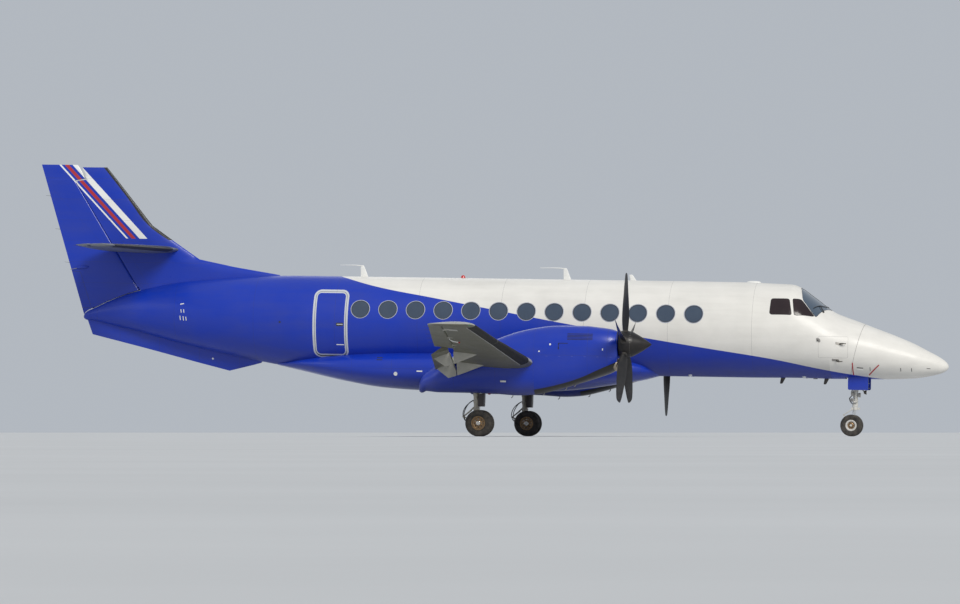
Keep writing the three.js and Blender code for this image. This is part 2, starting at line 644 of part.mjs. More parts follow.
const VENTRAL = [
  [-14460, -850, -815],
  [-15140, -1027, -640],
  [-18100, -306, 60],
  [-18215, 20, 60],
];
place(
  "ventral_fin",
  biggest(
    loft([
      [-34, 1],
      [34, 1],
    ].map(([y]) => [
      [-14400, y, -740],
      [-14460, y, -850],
      [-15140, y * 0.5, -1027],
      [-18100, y * 0.4, -306],
      [-18215, y * 0.5, 5],
      [-17600, y, 0],
    ])).subtract(body(GAP)),
  ),
  "blue",
);

// tailplane and elevator. columns: y, leading edge x, hinge x, trailing edge x, half thickness
const TAIL_Z = 1500;
const TAILPLANE = [
  [20, -16270, -17450, -18180, 84],
  [900, -16460, -17455, -18055, 74],
  [3150, -16938, -17460, -17760, 40],
  [3290, -16995, -17460, -17740, 30],
  [3340, -17080, -17460, -17700, 16],
];
const tailRing = ([y, le, hx, , half]) => {
  const pts = [
      [0, 0.05],
      [0.05, 0.45],
      [0.2, 0.82],
      [0.5, 1],
      [1, 0.8],
    ],
    te = hx + 45,
    l = le - te;
  return pts.map(([u, w]) => [le - l * u, y, TAIL_Z + half * w]).concat(
    pts
      .slice()
      .reverse()
      .map(([u, w]) => [le - l * u, y, TAIL_Z - half * w]),
  );
};
pair("tailplane", biggest(loft(TAILPLANE.map(tailRing)).subtract(finSolid(GAP))), "grey");
const elevatorRing = ([y, , hx, te, half]) => {
  const r = half * 0.78,
    list = [[te, y, TAIL_Z + 4], [lerp(te, hx, 0.5), y, TAIL_Z + half * 0.5]];
  [90, 60, 30, 0, -30, -60, -90].forEach((d) => {
    const a = (d * Math.PI) / 180;
    list.push([hx - 40 + r * Math.cos(a), y, TAIL_Z + r * Math.sin(a)]);
  });
  list.push([lerp(te, hx, 0.5), y, TAIL_Z - half * 0.5], [te, y, TAIL_Z - 4]);
  return list;
};
const elevatorRows = TAILPLANE.map((r) => (r[0] === 20 ? [110, ...TAILPLANE[0].slice(1)] : r));
const rudderRoom = planPrism(
  [
    [-17000, 100],
    [-17560, 120],
    [-18400, 420],
    [-18400, -200],
    [-17000, -200],
  ],
  1000,
  2000,
);
pair("elevator", biggest(loft(elevatorRows.map(elevatorRing)).subtract(rudderRoom)), "grey");

place("fuselage", biggest(hull.add(jackPad(...NOSE_PAD, 200))), "white");

// ---------------------------------------------------------------- propellers
// columns: radius, chord, thickness, pitch in degrees from the disc
const BLADE = [
  [200, 120, 80, 58],
  [330, 165, 56, 54],
  [520, 230, 36, 47],
  [800, 260, 25, 38],
  [1100, 240, 17, 30],
  [1400, 160, 9, 25],
  [PROP_R, 70, 6, 24],
];
function blade() {
  return loft(
    BLADE.map(([r, chord, thick, pitch]) => {
      const a = THREE.MathUtils.degToRad(pitch),
        outline = [
          [-0.5, 0],
          [-0.2, 0.45],
          [0.25, 0.45],
          [0.5, 0],
          [0.25, -0.4],
          [-0.2, -0.35],
        ];
      return outline.map(([u, w]) => {
        const along = u * chord,
          across = w * thick;
        return [along * Math.sin(a) + across * Math.cos(a), along * Math.cos(a) - across * Math.sin(a), r];
      });
    }),
  );
}
const turnX = (s, deg) => s.transform(new THREE.Matrix4().makeRotationX(THREE.MathUtils.degToRad(deg)).elements);
const latheX = (profile, sides = 20) => {
  // profile of (radius, x)
  const g = new THREE.LatheGeometry(
    profile.map(([r, x]) => new THREE.Vector2(r, x)),
    sides,
  );
  g.rotateZ(-Math.PI / 2);
  return solid(g);
};
let prop = latheX([
  [0, -110],
  [HUB_R, -110],
  [HUB_R, 95],
  [0, 95],
]);
for (let k = 0; k < BLADES; k++) prop = prop.add(turnX(blade(), (360 / BLADES) * k));
// as pictured: starboard propeller with one blade up, port one with one blade down
const onNacelle = (s) => s.translate([PROP_X, NAC_Y, PROP_Z]);
place("propeller_left", onNacelle(turnX(prop, 180 / BLADES)), "black", 0.35);
place("propeller_right", mirror(onNacelle(prop)), "black", 0.35);
const spinner = latheX([
  [0, 0],
  [HUB_R - 2, 0],
  [252, 55],
  [218, 122],
  [146, 250],
  [66, 368],
  [0, 450],
]).translate([PROP_X + 95 + GAP, NAC_Y, PROP_Z]);
pair("spinner", spinner, "black", 0.3, 0.3);

// ---------------------------------------------------------------- main gear
const LEG = { x: MAIN_X - 95, top: -1262, low: -1860, lean: -30 / 600, r: 56, pistonR: 42 };
const legAt = (z, dx = 0, dy = 0) => [LEG.x + (z - LEG.top) * LEG.lean + dx, NAC_Y + dy, z]; // the leg's centre line
const mainLeg = union(
  bar(legAt(LEG.top), legAt(LEG.low), LEG.r),
  bar(legAt(-1330, 0, -86), legAt(-1330, 0, 86), 34), // trunnion
  bar(legAt(-1735), legAt(-1765, -110), 22), // torque link bracket
);
pair("main_gear_leg", mainLeg, "steel", 0.3, 0.5);
const mainPiston = union(
  bar(legAt(LEG.low - GAP), legAt(MAIN_Z + 10), LEG.pistonR),
  bar(legAt(MAIN_Z + 6, -20), [MAIN_X + 25, NAC_Y, MAIN_Z], 46),
  bar([MAIN_X, NAC_Y - 240, MAIN_Z], [MAIN_X, NAC_Y + 240, MAIN_Z], 30),
);
const flatLink = (a, b, w0, w1, t = 16) =>
  loft([
    [
      [a[0], a[1] - w0, a[2] - t],
      [a[0], a[1] + w0, a[2] - t],
      [a[0], a[1] + w0, a[2] + t],
      [a[0], a[1] - w0, a[2] + t],
    ],
    [
      [b[0], b[1] - w1, b[2] - t],
      [b[0], b[1] + w1, b[2] - t],
      [b[0], b[1] + w1, b[2] + t],
      [b[0], b[1] - w1, b[2] + t],
    ],
  ]);
const elbow = [MAIN_X - 345, NAC_Y, -1900];
const mainLink = union(flatLink(legAt(-1770, -124), elbow, 48, 26), flatLink(elbow, legAt(MAIN_Z, 0), 26, 40));
pair("main_gear_axle", mainPiston.add(mainLink), "steel", 0.25, 0.8);
// leg door: a shallow curved panel ahead of the leg
const doorPlate = (x0, x1, yc, half, z0, z1, t) =>
  loft(
    [z0, z1].map((z) => [
      [x0, yc - half, z],
      [x1, yc - half * 0.75, z],
      [x1, yc + half * 0.75, z],
      [x0, yc + half, z],
      [x0, yc + half - t, z],
      [x1 - t, yc + half * 0.75 - t, z],
      [x1 - t, yc - half * 0.75 + t, z],
      [x0, yc - half + t, z],
    ]),
  );
pair("main_gear_door", doorPlate(MAIN_X - 20, MAIN_X + 100, NAC_Y, 150, -1690, -1430, 14).subtract(nacelleAt(GAP)), "blue");

// ---------------------------------------------------------------- nose gear
const NLEG = { x: -1900, top: -650, low: -1560, r: 48, pistonR: 34 };
place(
  "nose_gear_leg",
  union(
    bar([NLEG.x, 0, NLEG.top], [NLEG.x - 28, 0, NLEG.low], NLEG.r),
    bar([NLEG.x, -205, -760], [NLEG.x, 205, -760], 26),
    bar([NLEG.x + 10, 0, -1150], [NLEG.x + 250, 0, -700], 20), // drag brace, forward and up
    bar([NLEG.x - 24, 0, NLEG.low + 120], [NLEG.x - 28, 0, NLEG.low], 56),
  ),
  "steel",
  0.3,
  0.5,
);
const nElbow = [NOSE_X - 175, 0, -1730];
place(
  "nose_gear_axle",
  union(
    bar([NLEG.x - 28, 0, NLEG.low - 6], [NLEG.x - 30, 0, NLEG.low - 66], 54), // steering collar
    bar([NLEG.x - 30, 0, NLEG.low - 10], [NOSE_X + 6, 0, NOSE_Z], NLEG.pistonR),
    bar([NOSE_X, -178, NOSE_Z], [NOSE_X, 178, NOSE_Z], 22),
    bar([NOSE_X, -30, NOSE_Z], [NOSE_X, 30, NOSE_Z], 48),
    flatLink([NLEG.x - 50, 0, NLEG.low - 40], nElbow, 40, 18, 12),
    flatLink(nElbow, [NOSE_X - 30, 0, NOSE_Z - 10], 18, 26, 12),
  ),
  "steel",
  0.3,
  0.5,
);
// doors hang open on each side of the bay
pair(
  "nose_gear_door",
  loft([-2056, -1634].map((x) => [
    [x, 246, -1210],
    [x, 258, -1210],
    [x, 256, -925],
    [x, 244, -925],
  ])).subtract(body(GAP)),
  "blue",
);

// ---------------------------------------------------------------- wheels
const tyreProfile = (R, W, rim) => [
  [rim, -W * 0.38],
  [R * 0.8, -W * 0.5],
  [R * 0.95, -W * 0.4],
  [R, -W * 0.2],
  [R, W * 0.2],
  [R * 0.95, W * 0.4],
  [R * 0.8, W * 0.5],
  [rim, W * 0.38],
  [rim, -W * 0.38],
];
const rimProfile = (rim, W, bore) => [
  [bore, -W * 0.3],
  [rim * 0.5, -W * 0.2],
  [rim * 0.86, -W * 0.2],
  [rim - GAP, -W * 0.36],
  [rim - GAP, W * 0.36],
  [rim * 0.86, W * 0.2],
  [rim * 0.5, W * 0.2],
  [bore, W * 0.3],
  [bore, -W * 0.3],
];
// columns: name, x, y, z, tyre radius, tyre width, rim radius, bore
const WHEELS = [
  ["main", "left_outer", MAIN_X, NAC_Y + MAIN_TWIN, MAIN_Z, MAIN_TYRE_R, MAIN_TYRE_W, MAIN_RIM_R, 36],
  ["main", "left_inner", MAIN_X, NAC_Y - MAIN_TWIN, MAIN_Z, MAIN_TYRE_R, MAIN_TYRE_W, MAIN_RIM_R, 36],
  ["main", "right_outer", MAIN_X, -NAC_Y - MAIN_TWIN, MAIN_Z, MAIN_TYRE_R, MAIN_TYRE_W, MAIN_RIM_R, 36],
  ["main", "right_inner", MAIN_X, -NAC_Y + MAIN_TWIN, MAIN_Z, MAIN_TYRE_R, MAIN_TYRE_W, MAIN_RIM_R, 36],
  ["nose", "left", NOSE_X, NOSE_TWIN, NOSE_Z, NOSE_TYRE_R, NOSE_TYRE_W, NOSE_RIM_R, 28],
  ["nose", "right", NOSE_X, -NOSE_TWIN, NOSE_Z, NOSE_TYRE_R, NOSE_TYRE_W, NOSE_RIM_R, 28],
];
for (const [leg, at, x, y, z, R, W, rim, bore] of WHEELS) {
  place(leg + "_tyre_" + at, turnedY(tyreProfile(R, W, rim), [x, y, z], WHEEL_SIDES), "rubber", 0.85);
  place(leg + "_rim_" + at, turnedY(rimProfile(rim, W, bore), [x, y, z], WHEEL_SIDES), leg === "main" ? "bronze" : "light", 0.4, 0.5);
}

// ---------------------------------------------------------------- stance
const stance = new THREE.Group();
stance.add(airframe);
airframe.rotation.y = THREE.MathUtils.degToRad(STANCE_DEG);
airframe.position.set(9609, 0, -GROUND_Z_AT_NOSE_TIP);
export default stance;
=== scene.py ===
import math

import bmesh
import bpy
import numpy as np
from mathutils import Matrix, Vector


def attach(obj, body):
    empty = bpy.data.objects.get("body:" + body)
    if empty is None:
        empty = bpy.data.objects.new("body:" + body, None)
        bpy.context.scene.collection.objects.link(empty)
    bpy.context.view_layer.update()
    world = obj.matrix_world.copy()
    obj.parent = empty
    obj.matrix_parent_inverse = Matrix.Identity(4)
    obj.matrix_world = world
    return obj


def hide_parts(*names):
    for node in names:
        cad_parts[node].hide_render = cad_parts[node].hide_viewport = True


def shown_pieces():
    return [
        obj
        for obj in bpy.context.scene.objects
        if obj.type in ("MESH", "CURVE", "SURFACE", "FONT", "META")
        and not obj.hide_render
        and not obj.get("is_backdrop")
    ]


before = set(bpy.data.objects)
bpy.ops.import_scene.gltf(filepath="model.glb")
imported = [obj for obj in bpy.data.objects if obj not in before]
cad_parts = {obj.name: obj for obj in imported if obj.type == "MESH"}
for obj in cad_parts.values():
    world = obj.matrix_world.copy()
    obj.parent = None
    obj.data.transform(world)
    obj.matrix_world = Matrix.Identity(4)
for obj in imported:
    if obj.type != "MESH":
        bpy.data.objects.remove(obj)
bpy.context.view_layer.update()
RNG = np.random.default_rng(41)

STANCE = math.radians(1.02)
CT, ST = math.cos(STANCE), math.sin(STANCE)
OX, OZ = 9.609, 2.134


def row(p):
    p = np.asarray(p, float)
    x, y, z = p[..., 0], p[..., 1], p[..., 2]
    return np.stack([x * CT + z * ST + OX, y, -x * ST + z * CT + OZ], -1)


def row_dir(v):
    v = np.asarray(v, float)
    x, y, z = v[..., 0], v[..., 1], v[..., 2]
    return np.stack([x * CT + z * ST, y, -x * ST + z * CT], -1)


def back(p):
    """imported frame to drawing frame"""
    p = np.asarray(p, float)
    x, y, z = p[..., 0] - OX, p[..., 1], p[..., 2] - OZ
    return np.stack([x * CT - z * ST, y, x * ST + z * CT], -1)


def over_ground(x, h):
    return (-OZ + h + x * ST) / CT


def lerp(a, b, t):
    return a + (b - a) * t


class Pchip:
    """smooth curve through a table, without overshoot"""

    def __init__(self, x, y):
        self.x, self.y = np.asarray(x, float), np.asarray(y, float)
        h, d = np.diff(self.x), np.diff(self.y) / np.diff(self.x)
        m = np.zeros(len(self.x))
        for i in range(1, len(self.x) - 1):
            if d[i - 1] * d[i] > 0:
                w1, w2 = 2 * h[i] + h[i - 1], h[i] + 2 * h[i - 1]
                m[i] = (w1 + w2) / (w1 / d[i - 1] + w2 / d[i])
        m[0], m[-1] = d[0], d[-1]
        self.m = m

    def __call__(self, t):
        t = np.clip(np.asarray(t, float), self.x[0], self.x[-1])
        i = np.clip(np.searchsorted(self.x, t) - 1, 0, len(self.x) - 2)
        h = self.x[i + 1] - self.x[i]
        s = (t - self.x[i]) / h
        a, b = self.y[i], self.y[i + 1]
        return (
            a * (1 + 2 * s) * (1 - s) ** 2
            + b * s * s * (3 - 2 * s)
            + h * self.m[i] * s * (1 - s) ** 2
            - h * self.m[i + 1] * s * s * (1 - s)
        )


# ------------------------------------------------------------------ sizes shared with the solids
NAC_Y, PROP_X, PROP_Z, PROP_R, HUB_R, BLADES = 3.085, -6.3, -0.37, 1.45, 0.268, 5
FLAP_DOWN, FLAP_PIVOT_DROP = 25.0, 0.22
MAIN_X, MAIN_R, MAIN_W, MAIN_TWIN, MAIN_RIM = -9.27, 0.27, 0.166, 0.15, 0.145
NOSE_X, NOSE_R, NOSE_W, NOSE_TWIN, NOSE_RIM = -1.99, 0.225, 0.125, 0.105, 0.118
MAIN_Z, NOSE_Z = over_ground(MAIN_X, MAIN_R), over_ground(NOSE_X, NOSE_R)

# columns: x, top, bottom, half width
BODY = np.array(
    [
        [-0.05, -0.626, -0.779, 0.085],
        [-0.15, -0.53, -0.84, 0.17],
        [-0.26, -0.466, -0.871, 0.24],
        [-0.47, -0.36, -0.918, 0.335],
        [-0.68, -0.254, -0.949, 0.42],
        [-1.09, -0.085, -0.973, 0.53],
        [-1.51, 0.067, -0.981, 0.625],
        [-1.8, 0.174, -0.983, 0.682],
        [-2.14, 0.293, -0.987, 0.745],
        [-2.34, 0.369, -0.989, 0.785],
        [-2.77, 0.671, -0.984, 0.86],
        [-3.11, 0.9, -0.98, 0.912],
        [-3.25, 0.95, -0.98, 0.928],
        [-3.61, 0.965, -0.985, 0.962],
        [-4.2, 0.985, -0.99, 0.99],
        [-6.0, 0.99, -0.99, 0.99],
        [-10.0, 0.99, -0.99, 0.99],
        [-13.3, 0.99, -0.985, 0.99],
        [-13.7, 0.99, -0.94, 0.965],
        [-14.4, 0.97, -0.83, 0.885],
        [-15.24, 0.92, -0.675, 0.765],
        [-16.2, 0.82, -0.467, 0.59],
        [-17.15, 0.62, -0.225, 0.375],
        [-17.7, 0.425, -0.1, 0.235],
        [-18.12, 0.225, 0.0, 0.112],
    ]
)
B_TOP, B_BOT, B_HALF = (Pchip(-BODY[:, 0], BODY[:, k]) for k in (1, 2, 3))
NOSE_TIP, TAIL_TIP = (0, 0, -0.7), (-18.3, 0, 0.067)


def body_section(x):
    """centre height, half height, half width of the fuselage at x"""
    s = -np.asarray(x, float)
    t, b, h = B_TOP(s), B_BOT(s), B_HALF(s)
    g = np.where(s > 18.12, np.sqrt(np.clip(1 - ((s - 18.12) / 0.18) ** 2, 1e-9, 1)), 1.0)
    zc = (t + b) / 2
    # rounded nose ahead of the second section
    tip = np.sqrt(np.clip(s / 0.15, 1e-9, 1))
    zc = np.where(s < 0.15, lerp(-0.7, -0.685, s / 0.15), zc)
    zc = np.where(s > 18.12, lerp(zc, 0.067, (s - 18.12) / 0.18), zc)
    return zc, np.where(s < 0.15, 0.155 * tip, (t - b) / 2 * g), np.where(s < 0.15, 0.17 * tip, h * g)


def skin_y(x, z, grow=0.0):
    zc, hz, hy = body_section(x)
    k = (np.asarray(z, float) - zc) / (hz + grow)
    return (hy + grow) * np.sqrt(np.clip(1 - k * k, 0, 1))


def skin_normal(p):
    """outward normal of the fuselage near p, drawing frame"""
    p = np.asarray(p, float)
    e = 1e-3

    def f(x, y, z):
        zc, hz, hy = body_section(x)
        return (y / np.maximum(hy, 1e-4)) ** 2 + ((z - zc) / np.maximum(hz, 1e-4)) ** 2 - 1

    x, y, z = p[..., 0], p[..., 1], p[..., 2]
    g = np.stack(
        [f(x + e, y, z) - f(x - e, y, z), f(x, y + e, z) - f(x, y - e, z), f(x, y, z + e) - f(x, y, z - e)], -1
    )
    return g / np.maximum(np.linalg.norm(g, axis=-1, keepdims=True), 1e-12)


def on_skin(xz, side, off=0.0):
    """points on the fuselage side at (x, z), pushed out by off"""
    xz = np.asarray(xz, float)
    x, z = xz[..., 0], xz[..., 1]
    p = np.stack([x, side * skin_y(x, z), z], -1)
    return p + skin_normal(p) * np.asarray(off)[..., None] if np.ndim(off) else p + skin_normal(p) * off


# ------------------------------------------------------------------ mesh helpers
def make(name, verts, faces, mats, body=None, smooth=35, packed=False, mat_of=None, stands=(), slot=None, recalc=True):
    """one object from vertices and faces; verts in the drawing frame unless packed"""
    me = bpy.data.meshes.new(name)
    v = np.asarray(verts, float)
    if not packed:
        v = row(v)
    me.from_pydata(v.tolist(), [], [list(map(int, f)) for f in faces])
    me.validate()
    for m in mats if isinstance(mats, (list, tuple)) else [mats]:
        me.materials.append(m)
    if mat_of is not None:
        me.polygons.foreach_set("material_index", np.asarray(mat_of, np.int32))
    if recalc:
        bm = bmesh.new()
        bm.from_mesh(me)
        bmesh.ops.remove_doubles(bm, verts=bm.verts, dist=2e-6)
        bmesh.ops.recalc_face_normals(bm, faces=bm.faces)
        bm.to_mesh(me)
        bm.free()
    o = bpy.data.objects.new(name, me)
    bpy.context.scene.collection.objects.link(o)
    shade(o, smooth)
    if body:
        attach(o, body)
    if stands:
        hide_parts(*([stands] if isinstance(stands, str) else stands))
    return o


def shade(o, smooth):
    me = o.data
    if smooth is None:
        me.shade_flat()
    else:
        me.shade_smooth()
        me.set_sharp_from_angle(angle=math.radians(smooth))


def apply_modifiers(o):
    dg = bpy.context.evaluated_depsgraph_get()
    me = bpy.data.meshes.new_from_object(o.evaluated_get(dg))
    o.modifiers.clear()
    old = o.data
    o.data = me
    me.name = o.name
    bpy.data.meshes.remove(old)


def cut(o, cutter, keep=False, op="DIFFERENCE"):
    m = o.modifiers.new("cut", "BOOLEAN")
    m.operation, m.object, m.solver = op, cutter, "EXACT"
    m.material_mode = "TRANSFER"
    apply_modifiers(o)
    if not keep:
        bpy.data.objects.remove(cutter)


def bevel(o, width, segments=2, angle=35):
    m = o.modifiers.new("bevel", "BEVEL")
    m.width, m.segments, m.limit_method, m.angle_limit = width, segments, "ANGLE", math.radians(angle)
    m.harden_normals = False
    apply_modifiers(o)
    shade(o, 40)


def set_normals(o, wanted, tol=4e-4):
    """smooth normals from a surface function on the faces that lie on it: wanted(points) gives (distance, normal)"""
    me = o.data
    n = len(me.vertices)
    co = np.empty(n * 3)
    me.vertices.foreach_get("co", co)
    d, nn = wanted(back(co.reshape(-1, 3)))
    nn = row_dir(nn)
    on = np.abs(d) < tol
    lv = np.empty(len(me.loops), np.int32)
    me.loops.foreach_get("vertex_index", lv)
    me.shade_smooth()
    me.set_sharp_from_angle(angle=math.radians(40))
    cn = np.empty(len(me.loops) * 3)
    me.corner_normals.foreach_get("vector", cn)
    cn = cn.reshape(-1, 3)
    starts, totals = np.empty(len(me.polygons), np.int32), np.empty(len(me.polygons), np.int32)
    me.polygons.foreach_get("loop_start", starts)
    me.polygons.foreach_get("loop_total", totals)
    fn = np.empty(len(me.polygons) * 3)
    me.polygons.foreach_get("normal", fn)
    fn = fn.reshape(-1, 3)
    face_of = np.repeat(np.arange(len(totals)), totals)
    ok = on[lv] & ((fn[face_of] * nn[lv]).sum(1) > 0.6)
    all_ok = np.ones(len(totals), bool)
    np.logical_and.at(all_ok, face_of, ok)
    use = all_ok[face_of]
    cn[use] = nn[lv][use]
    me.normals_split_custom_set(cn.tolist())


def join_parts(parts):
    """(verts, faces) lists into one"""
    vs, fs, n = [], [], 0
    for v, f in parts:
        vs.append(np.asarray(v, float).reshape(-1, 3))
        fs += [[i + n for i in q] for q in f]
        n += len(vs[-1])
    return np.concatenate(vs), fs


def loft(rings, closed=True, start=None, end=None, caps=True):
    """skin over rings of equal length; an end is a flat cap, or a point"""
    rings = [np.asarray(r, float) for r in rings]
    n = len(rings[0])
    v = np.concatenate(rings)
    f = []
    span = n if closed else n - 1
    for i in range(len(rings) - 1):
        for j in range(span):
            k = (j + 1) % n
            f.append([i * n + j, i * n + k, (i + 1) * n + k, (i + 1) * n + j])
    if start is not None:
        v = np.vstack([v, [start]])
        c = len(v) - 1
        f += [[c, (j + 1) % n, j] for j in range(n)]
    elif caps:
        f.append(list(range(n))[::-1])
    b = (len(rings) - 1) * n
    if end is not None:
        v = np.vstack([v, [end]])
        c = len(v) - 1
        f += [[c, b + j, b + (j + 1) % n] for j in range(n)]
    elif caps:
        f.append([b + j for j in range(n)])
    return v, f


def oval(x, zc, hz, hy, power=2.0, yc=0.0, n=96):
    a = (np.arange(n) + 0.5) / n * 2 * math.pi
    c, s, e = np.cos(a), np.sin(a), 2 / power
    return np.stack(
        [np.full(n, x), yc + hy * np.sign(c) * np.abs(c) ** e, zc + hz * np.sign(s) * np.abs(s) ** e], 1
    )


def slab_grid(grid, side, g_out, g_in, surface=None):
    """closed plate from an (n, m, 2) grid of (x, z), between two grown skins"""
    grid = np.asarray(grid, float)
    n, m = grid.shape[:2]
    x, z = grid[..., 0], grid[..., 1]
    out = np.stack([x, side * skin_y(x, z, g_out), z], -1).reshape(-1, 3)
    inn = np.stack([x, side * skin_y(x, z, g_in), z], -1).reshape(-1, 3)
    return plate_faces(out, inn, n, m)


def plate_faces(out, inn, n, m):
    k = n * m
    f = []
    for i in range(n - 1):
        for j in range(m - 1):
            a, b, c, d = i * m + j, (i + 1) * m + j, (i + 1) * m + j + 1, i * m + j + 1
            f += [[a, b, c, d], [a + k, d + k, c + k, b + k]]
    edge = (
        [i * m for i in range(n)]
        + [(n - 1) * m + j for j in range(1, m)]
        + [i * m + m - 1 for i in range(n - 2, -1, -1)]
        + [j for j in range(m - 2, 0, -1)]
    )
    for a, b in zip(edge, edge[1:] + edge[:1]):
        f.append([a, a + k, b + k, b])
    return np.vstack([out, inn]), f


def offset_grid(grid, side, o_out, o_in):
    """closed plate following the skin, between two offsets along its normal"""
    grid = np.asarray(grid, float)
    n, m = grid.shape[:2]
    return plate_faces(on_skin(grid, side, o_out).reshape(-1, 3), on_skin(grid, side, o_in).reshape(-1, 3), n, m)


def rounded_grid(x0, x1, z0, z1, r, nx=10, nz=24, arc=7):
    """grid of (x, z) columns filling a rounded rectangle"""
    t = np.linspace(0, math.pi / 2, arc)
    xs = np.concatenate([x0 + r - r * np.cos(t), np.linspace(x0 + r, x1 - r, nx)[1:-1], (x1 - r + r * np.sin(t))])
    cols = []
    for x in xs:
        d = max(x0 + r - x, x - (x1 - r), 0.0)
        h = r - math.sqrt(max(r * r - d * d, 0.0))
        cols.append(np.stack([np.full(nz, x), np.linspace(z0 + h, z1 - h, nz)], 1))
    return np.array(cols)


def quad_grid(q, n=14, m=12):
    q = np.asarray(q, float)
    u, v = np.meshgrid(np.linspace(0, 1, n), np.linspace(0, 1, m), indexing="ij")
    u, v = u[..., None], v[..., None]
    return (q[0] * (1 - u) + q[1] * u) * (1 - v) + (q[3] * (1 - u) + q[2] * u) * v


def tube(path, radius, n=10, caps=True):
    """round bar along a path; radius may be a list"""
    p = np.asarray(path, float)
    r = np.broadcast_to(np.asarray(radius, float), (len(p),))
    t = np.gradient(p, axis=0)
    t /= np.linalg.norm(t, axis=1, keepdims=True)
    up = np.array([0.0, 0.0, 1.0]) if abs(t[0][2]) < 0.9 else np.array([1.0, 0.0, 0.0])
    a = np.cross(t[0], up)
    a /= np.linalg.norm(a)
    rings = []
    for i in range(len(p)):
        a = a - t[i] * (a @ t[i])
        a /= np.linalg.norm(a)
        b = np.cross(t[i], a)
        ang = np.arange(n) / n * 2 * math.pi
        rings.append(p[i] + r[i] * (np.cos(ang)[:, None] * a + np.sin(ang)[:, None] * b))
    return loft(rings, caps=caps)


def smooth_path(points, n=24):
    """smooth line through points"""
    p = np.asarray(points, float)
    s = np.concatenate([[0], np.cumsum(np.linalg.norm(np.diff(p, axis=0), axis=1))])
    q = np.linspace(0, s[-1], n)
    m = np.gradient(p, s, axis=0)
    out = []
    for t in q:
        i = min(max(np.searchsorted(s, t) - 1, 0), len(s) - 2)
        h = s[i + 1] - s[i]
        u = (t - s[i]) / h
        out.append(
            p[i] * (1 + 2 * u) * (1 - u) ** 2 + p[i + 1] * u * u * (3 - 2 * u) + h * m[i] * u * (1 - u) ** 2 - h * m[i + 1] * u * u * (1 - u)
        )
    return np.array(out)


def turned(profile, a, b, n=40):
    """turned solid: profile of (radius, share of the way from a to b, plus metres) rows (radius, distance from a)"""
    a, b = np.asarray(a, float), np.asarray(b, float)
    d = b - a
    d /= np.linalg.norm(d)
    u = np.cross(d, [0, 0, 1.0] if abs(d[2]) < 0.9 else [1.0, 0, 0])
    u /= np.linalg.norm(u)
    w = np.cross(d, u)
    ang = np.arange(n) / n * 2 * math.pi
    rings, start, end = [], None, None
    for k, (r, h) in enumerate(profile):
        c = a + d * h
        if r <= 1e-6:
            if k == 0:
                start = c
                continue
            end = c
            continue
        rings.append(c + r * (np.cos(ang)[:, None] * u + np.sin(ang)[:, None] * w))
    return loft(rings, start=start, end=end)


def lathe_loop(profile, centre, axis, n=64):
    """ring solid (tyre, rim): closed profile of (radius, along the axis)"""
    c, d = np.asarray(centre, float), np.asarray(axis, float)
    d = d / np.linalg.norm(d)
    u = np.cross(d, [0, 0, 1.0] if abs(d[2]) < 0.9 else [1.0, 0, 0])
    u /= np.linalg.norm(u)
    w = np.cross(d, u)
    v, f, m = [], [], len(profile)
    for k in range(n):
        a = 2 * math.pi * k / n
        for r, h in profile:
            v.append(c + d * h + r * (math.cos(a) * u + math.sin(a) * w))
    for k in range(n):
        for j in range(m):
            a, b = k * m + j, k * m + (j + 1) % m
            e, g = ((k + 1) % n) * m + j, ((k + 1) % n) * m + (j + 1) % m
            f.append([a, b, g, e])
    return np.array(v), f


def box_part(x0, x1, y0, y1, z0, z1):
    v = [[x, y, z] for x in (x0, x1) for y in (y0, y1) for z in (z0, z1)]
    f = [[0, 1, 3, 2], [4, 6, 7, 5], [0, 4, 5, 1], [2, 3, 7, 6], [0, 2, 6, 4], [1, 5, 7, 3]]
    return np.array(v, float), f


def prism(outline, y0, y1):
    """outline in side view (x, z) between two y"""
    r = lambda y: [[x, y, z] for x, z in outline]
    return loft([r(y0), r(y1)])


def flip_y(part):
    v, f = part
    v = np.array(v, float)
    v[:, 1] = -v[:, 1]
    return v, [q[::-1] for q in f]


def about(p, a, b, deg):
    """turn points about the line a-b"""
    a, b = np.asarray(a, float), np.asarray(b, float)
    k = (b - a) / np.linalg.norm(b - a)
    v = np.asarray(p, float) - a
    c, s = math.cos(math.radians(deg)), math.sin(math.radians(deg))
    return a + v * c + np.cross(k, v) * s + np.outer(v @ k, k) * (1 - c)


def clip(o, point, normal):
    """keep the side of a plane that the normal points to, and close the cut; drawing frame"""
    bm = bmesh.new()
    bm.from_mesh(o.data)
    geom = bm.verts[:] + bm.edges[:] + bm.faces[:]
    res = bmesh.ops.bisect_plane(
        bm, geom=geom, plane_co=Vector(row(point)), plane_no=Vector(row_dir(normal)), clear_inner=True, dist=1e-6
    )
    edges = [e for e in res["geom_cut"] if isinstance(e, bmesh.types.BMEdge)]
    bmesh.ops.holes_fill(bm, edges=edges, sides=0)
    bmesh.ops.recalc_face_normals(bm, faces=bm.faces)
    bm.to_mesh(o.data)
    bm.free()


# ------------------------------------------------------------------ materials
def new_material(name):
    m = bpy.data.materials.new(name)
    m.use_nodes = True
    nt = m.node_tree
    nt.nodes.clear()
    out = nt.nodes.new("ShaderNodeOutputMaterial")
    bs = nt.nodes.new("ShaderNodeBsdfPrincipled")
    nt.links.new(bs.outputs[0], out.inputs[0])
    return m, nt, bs


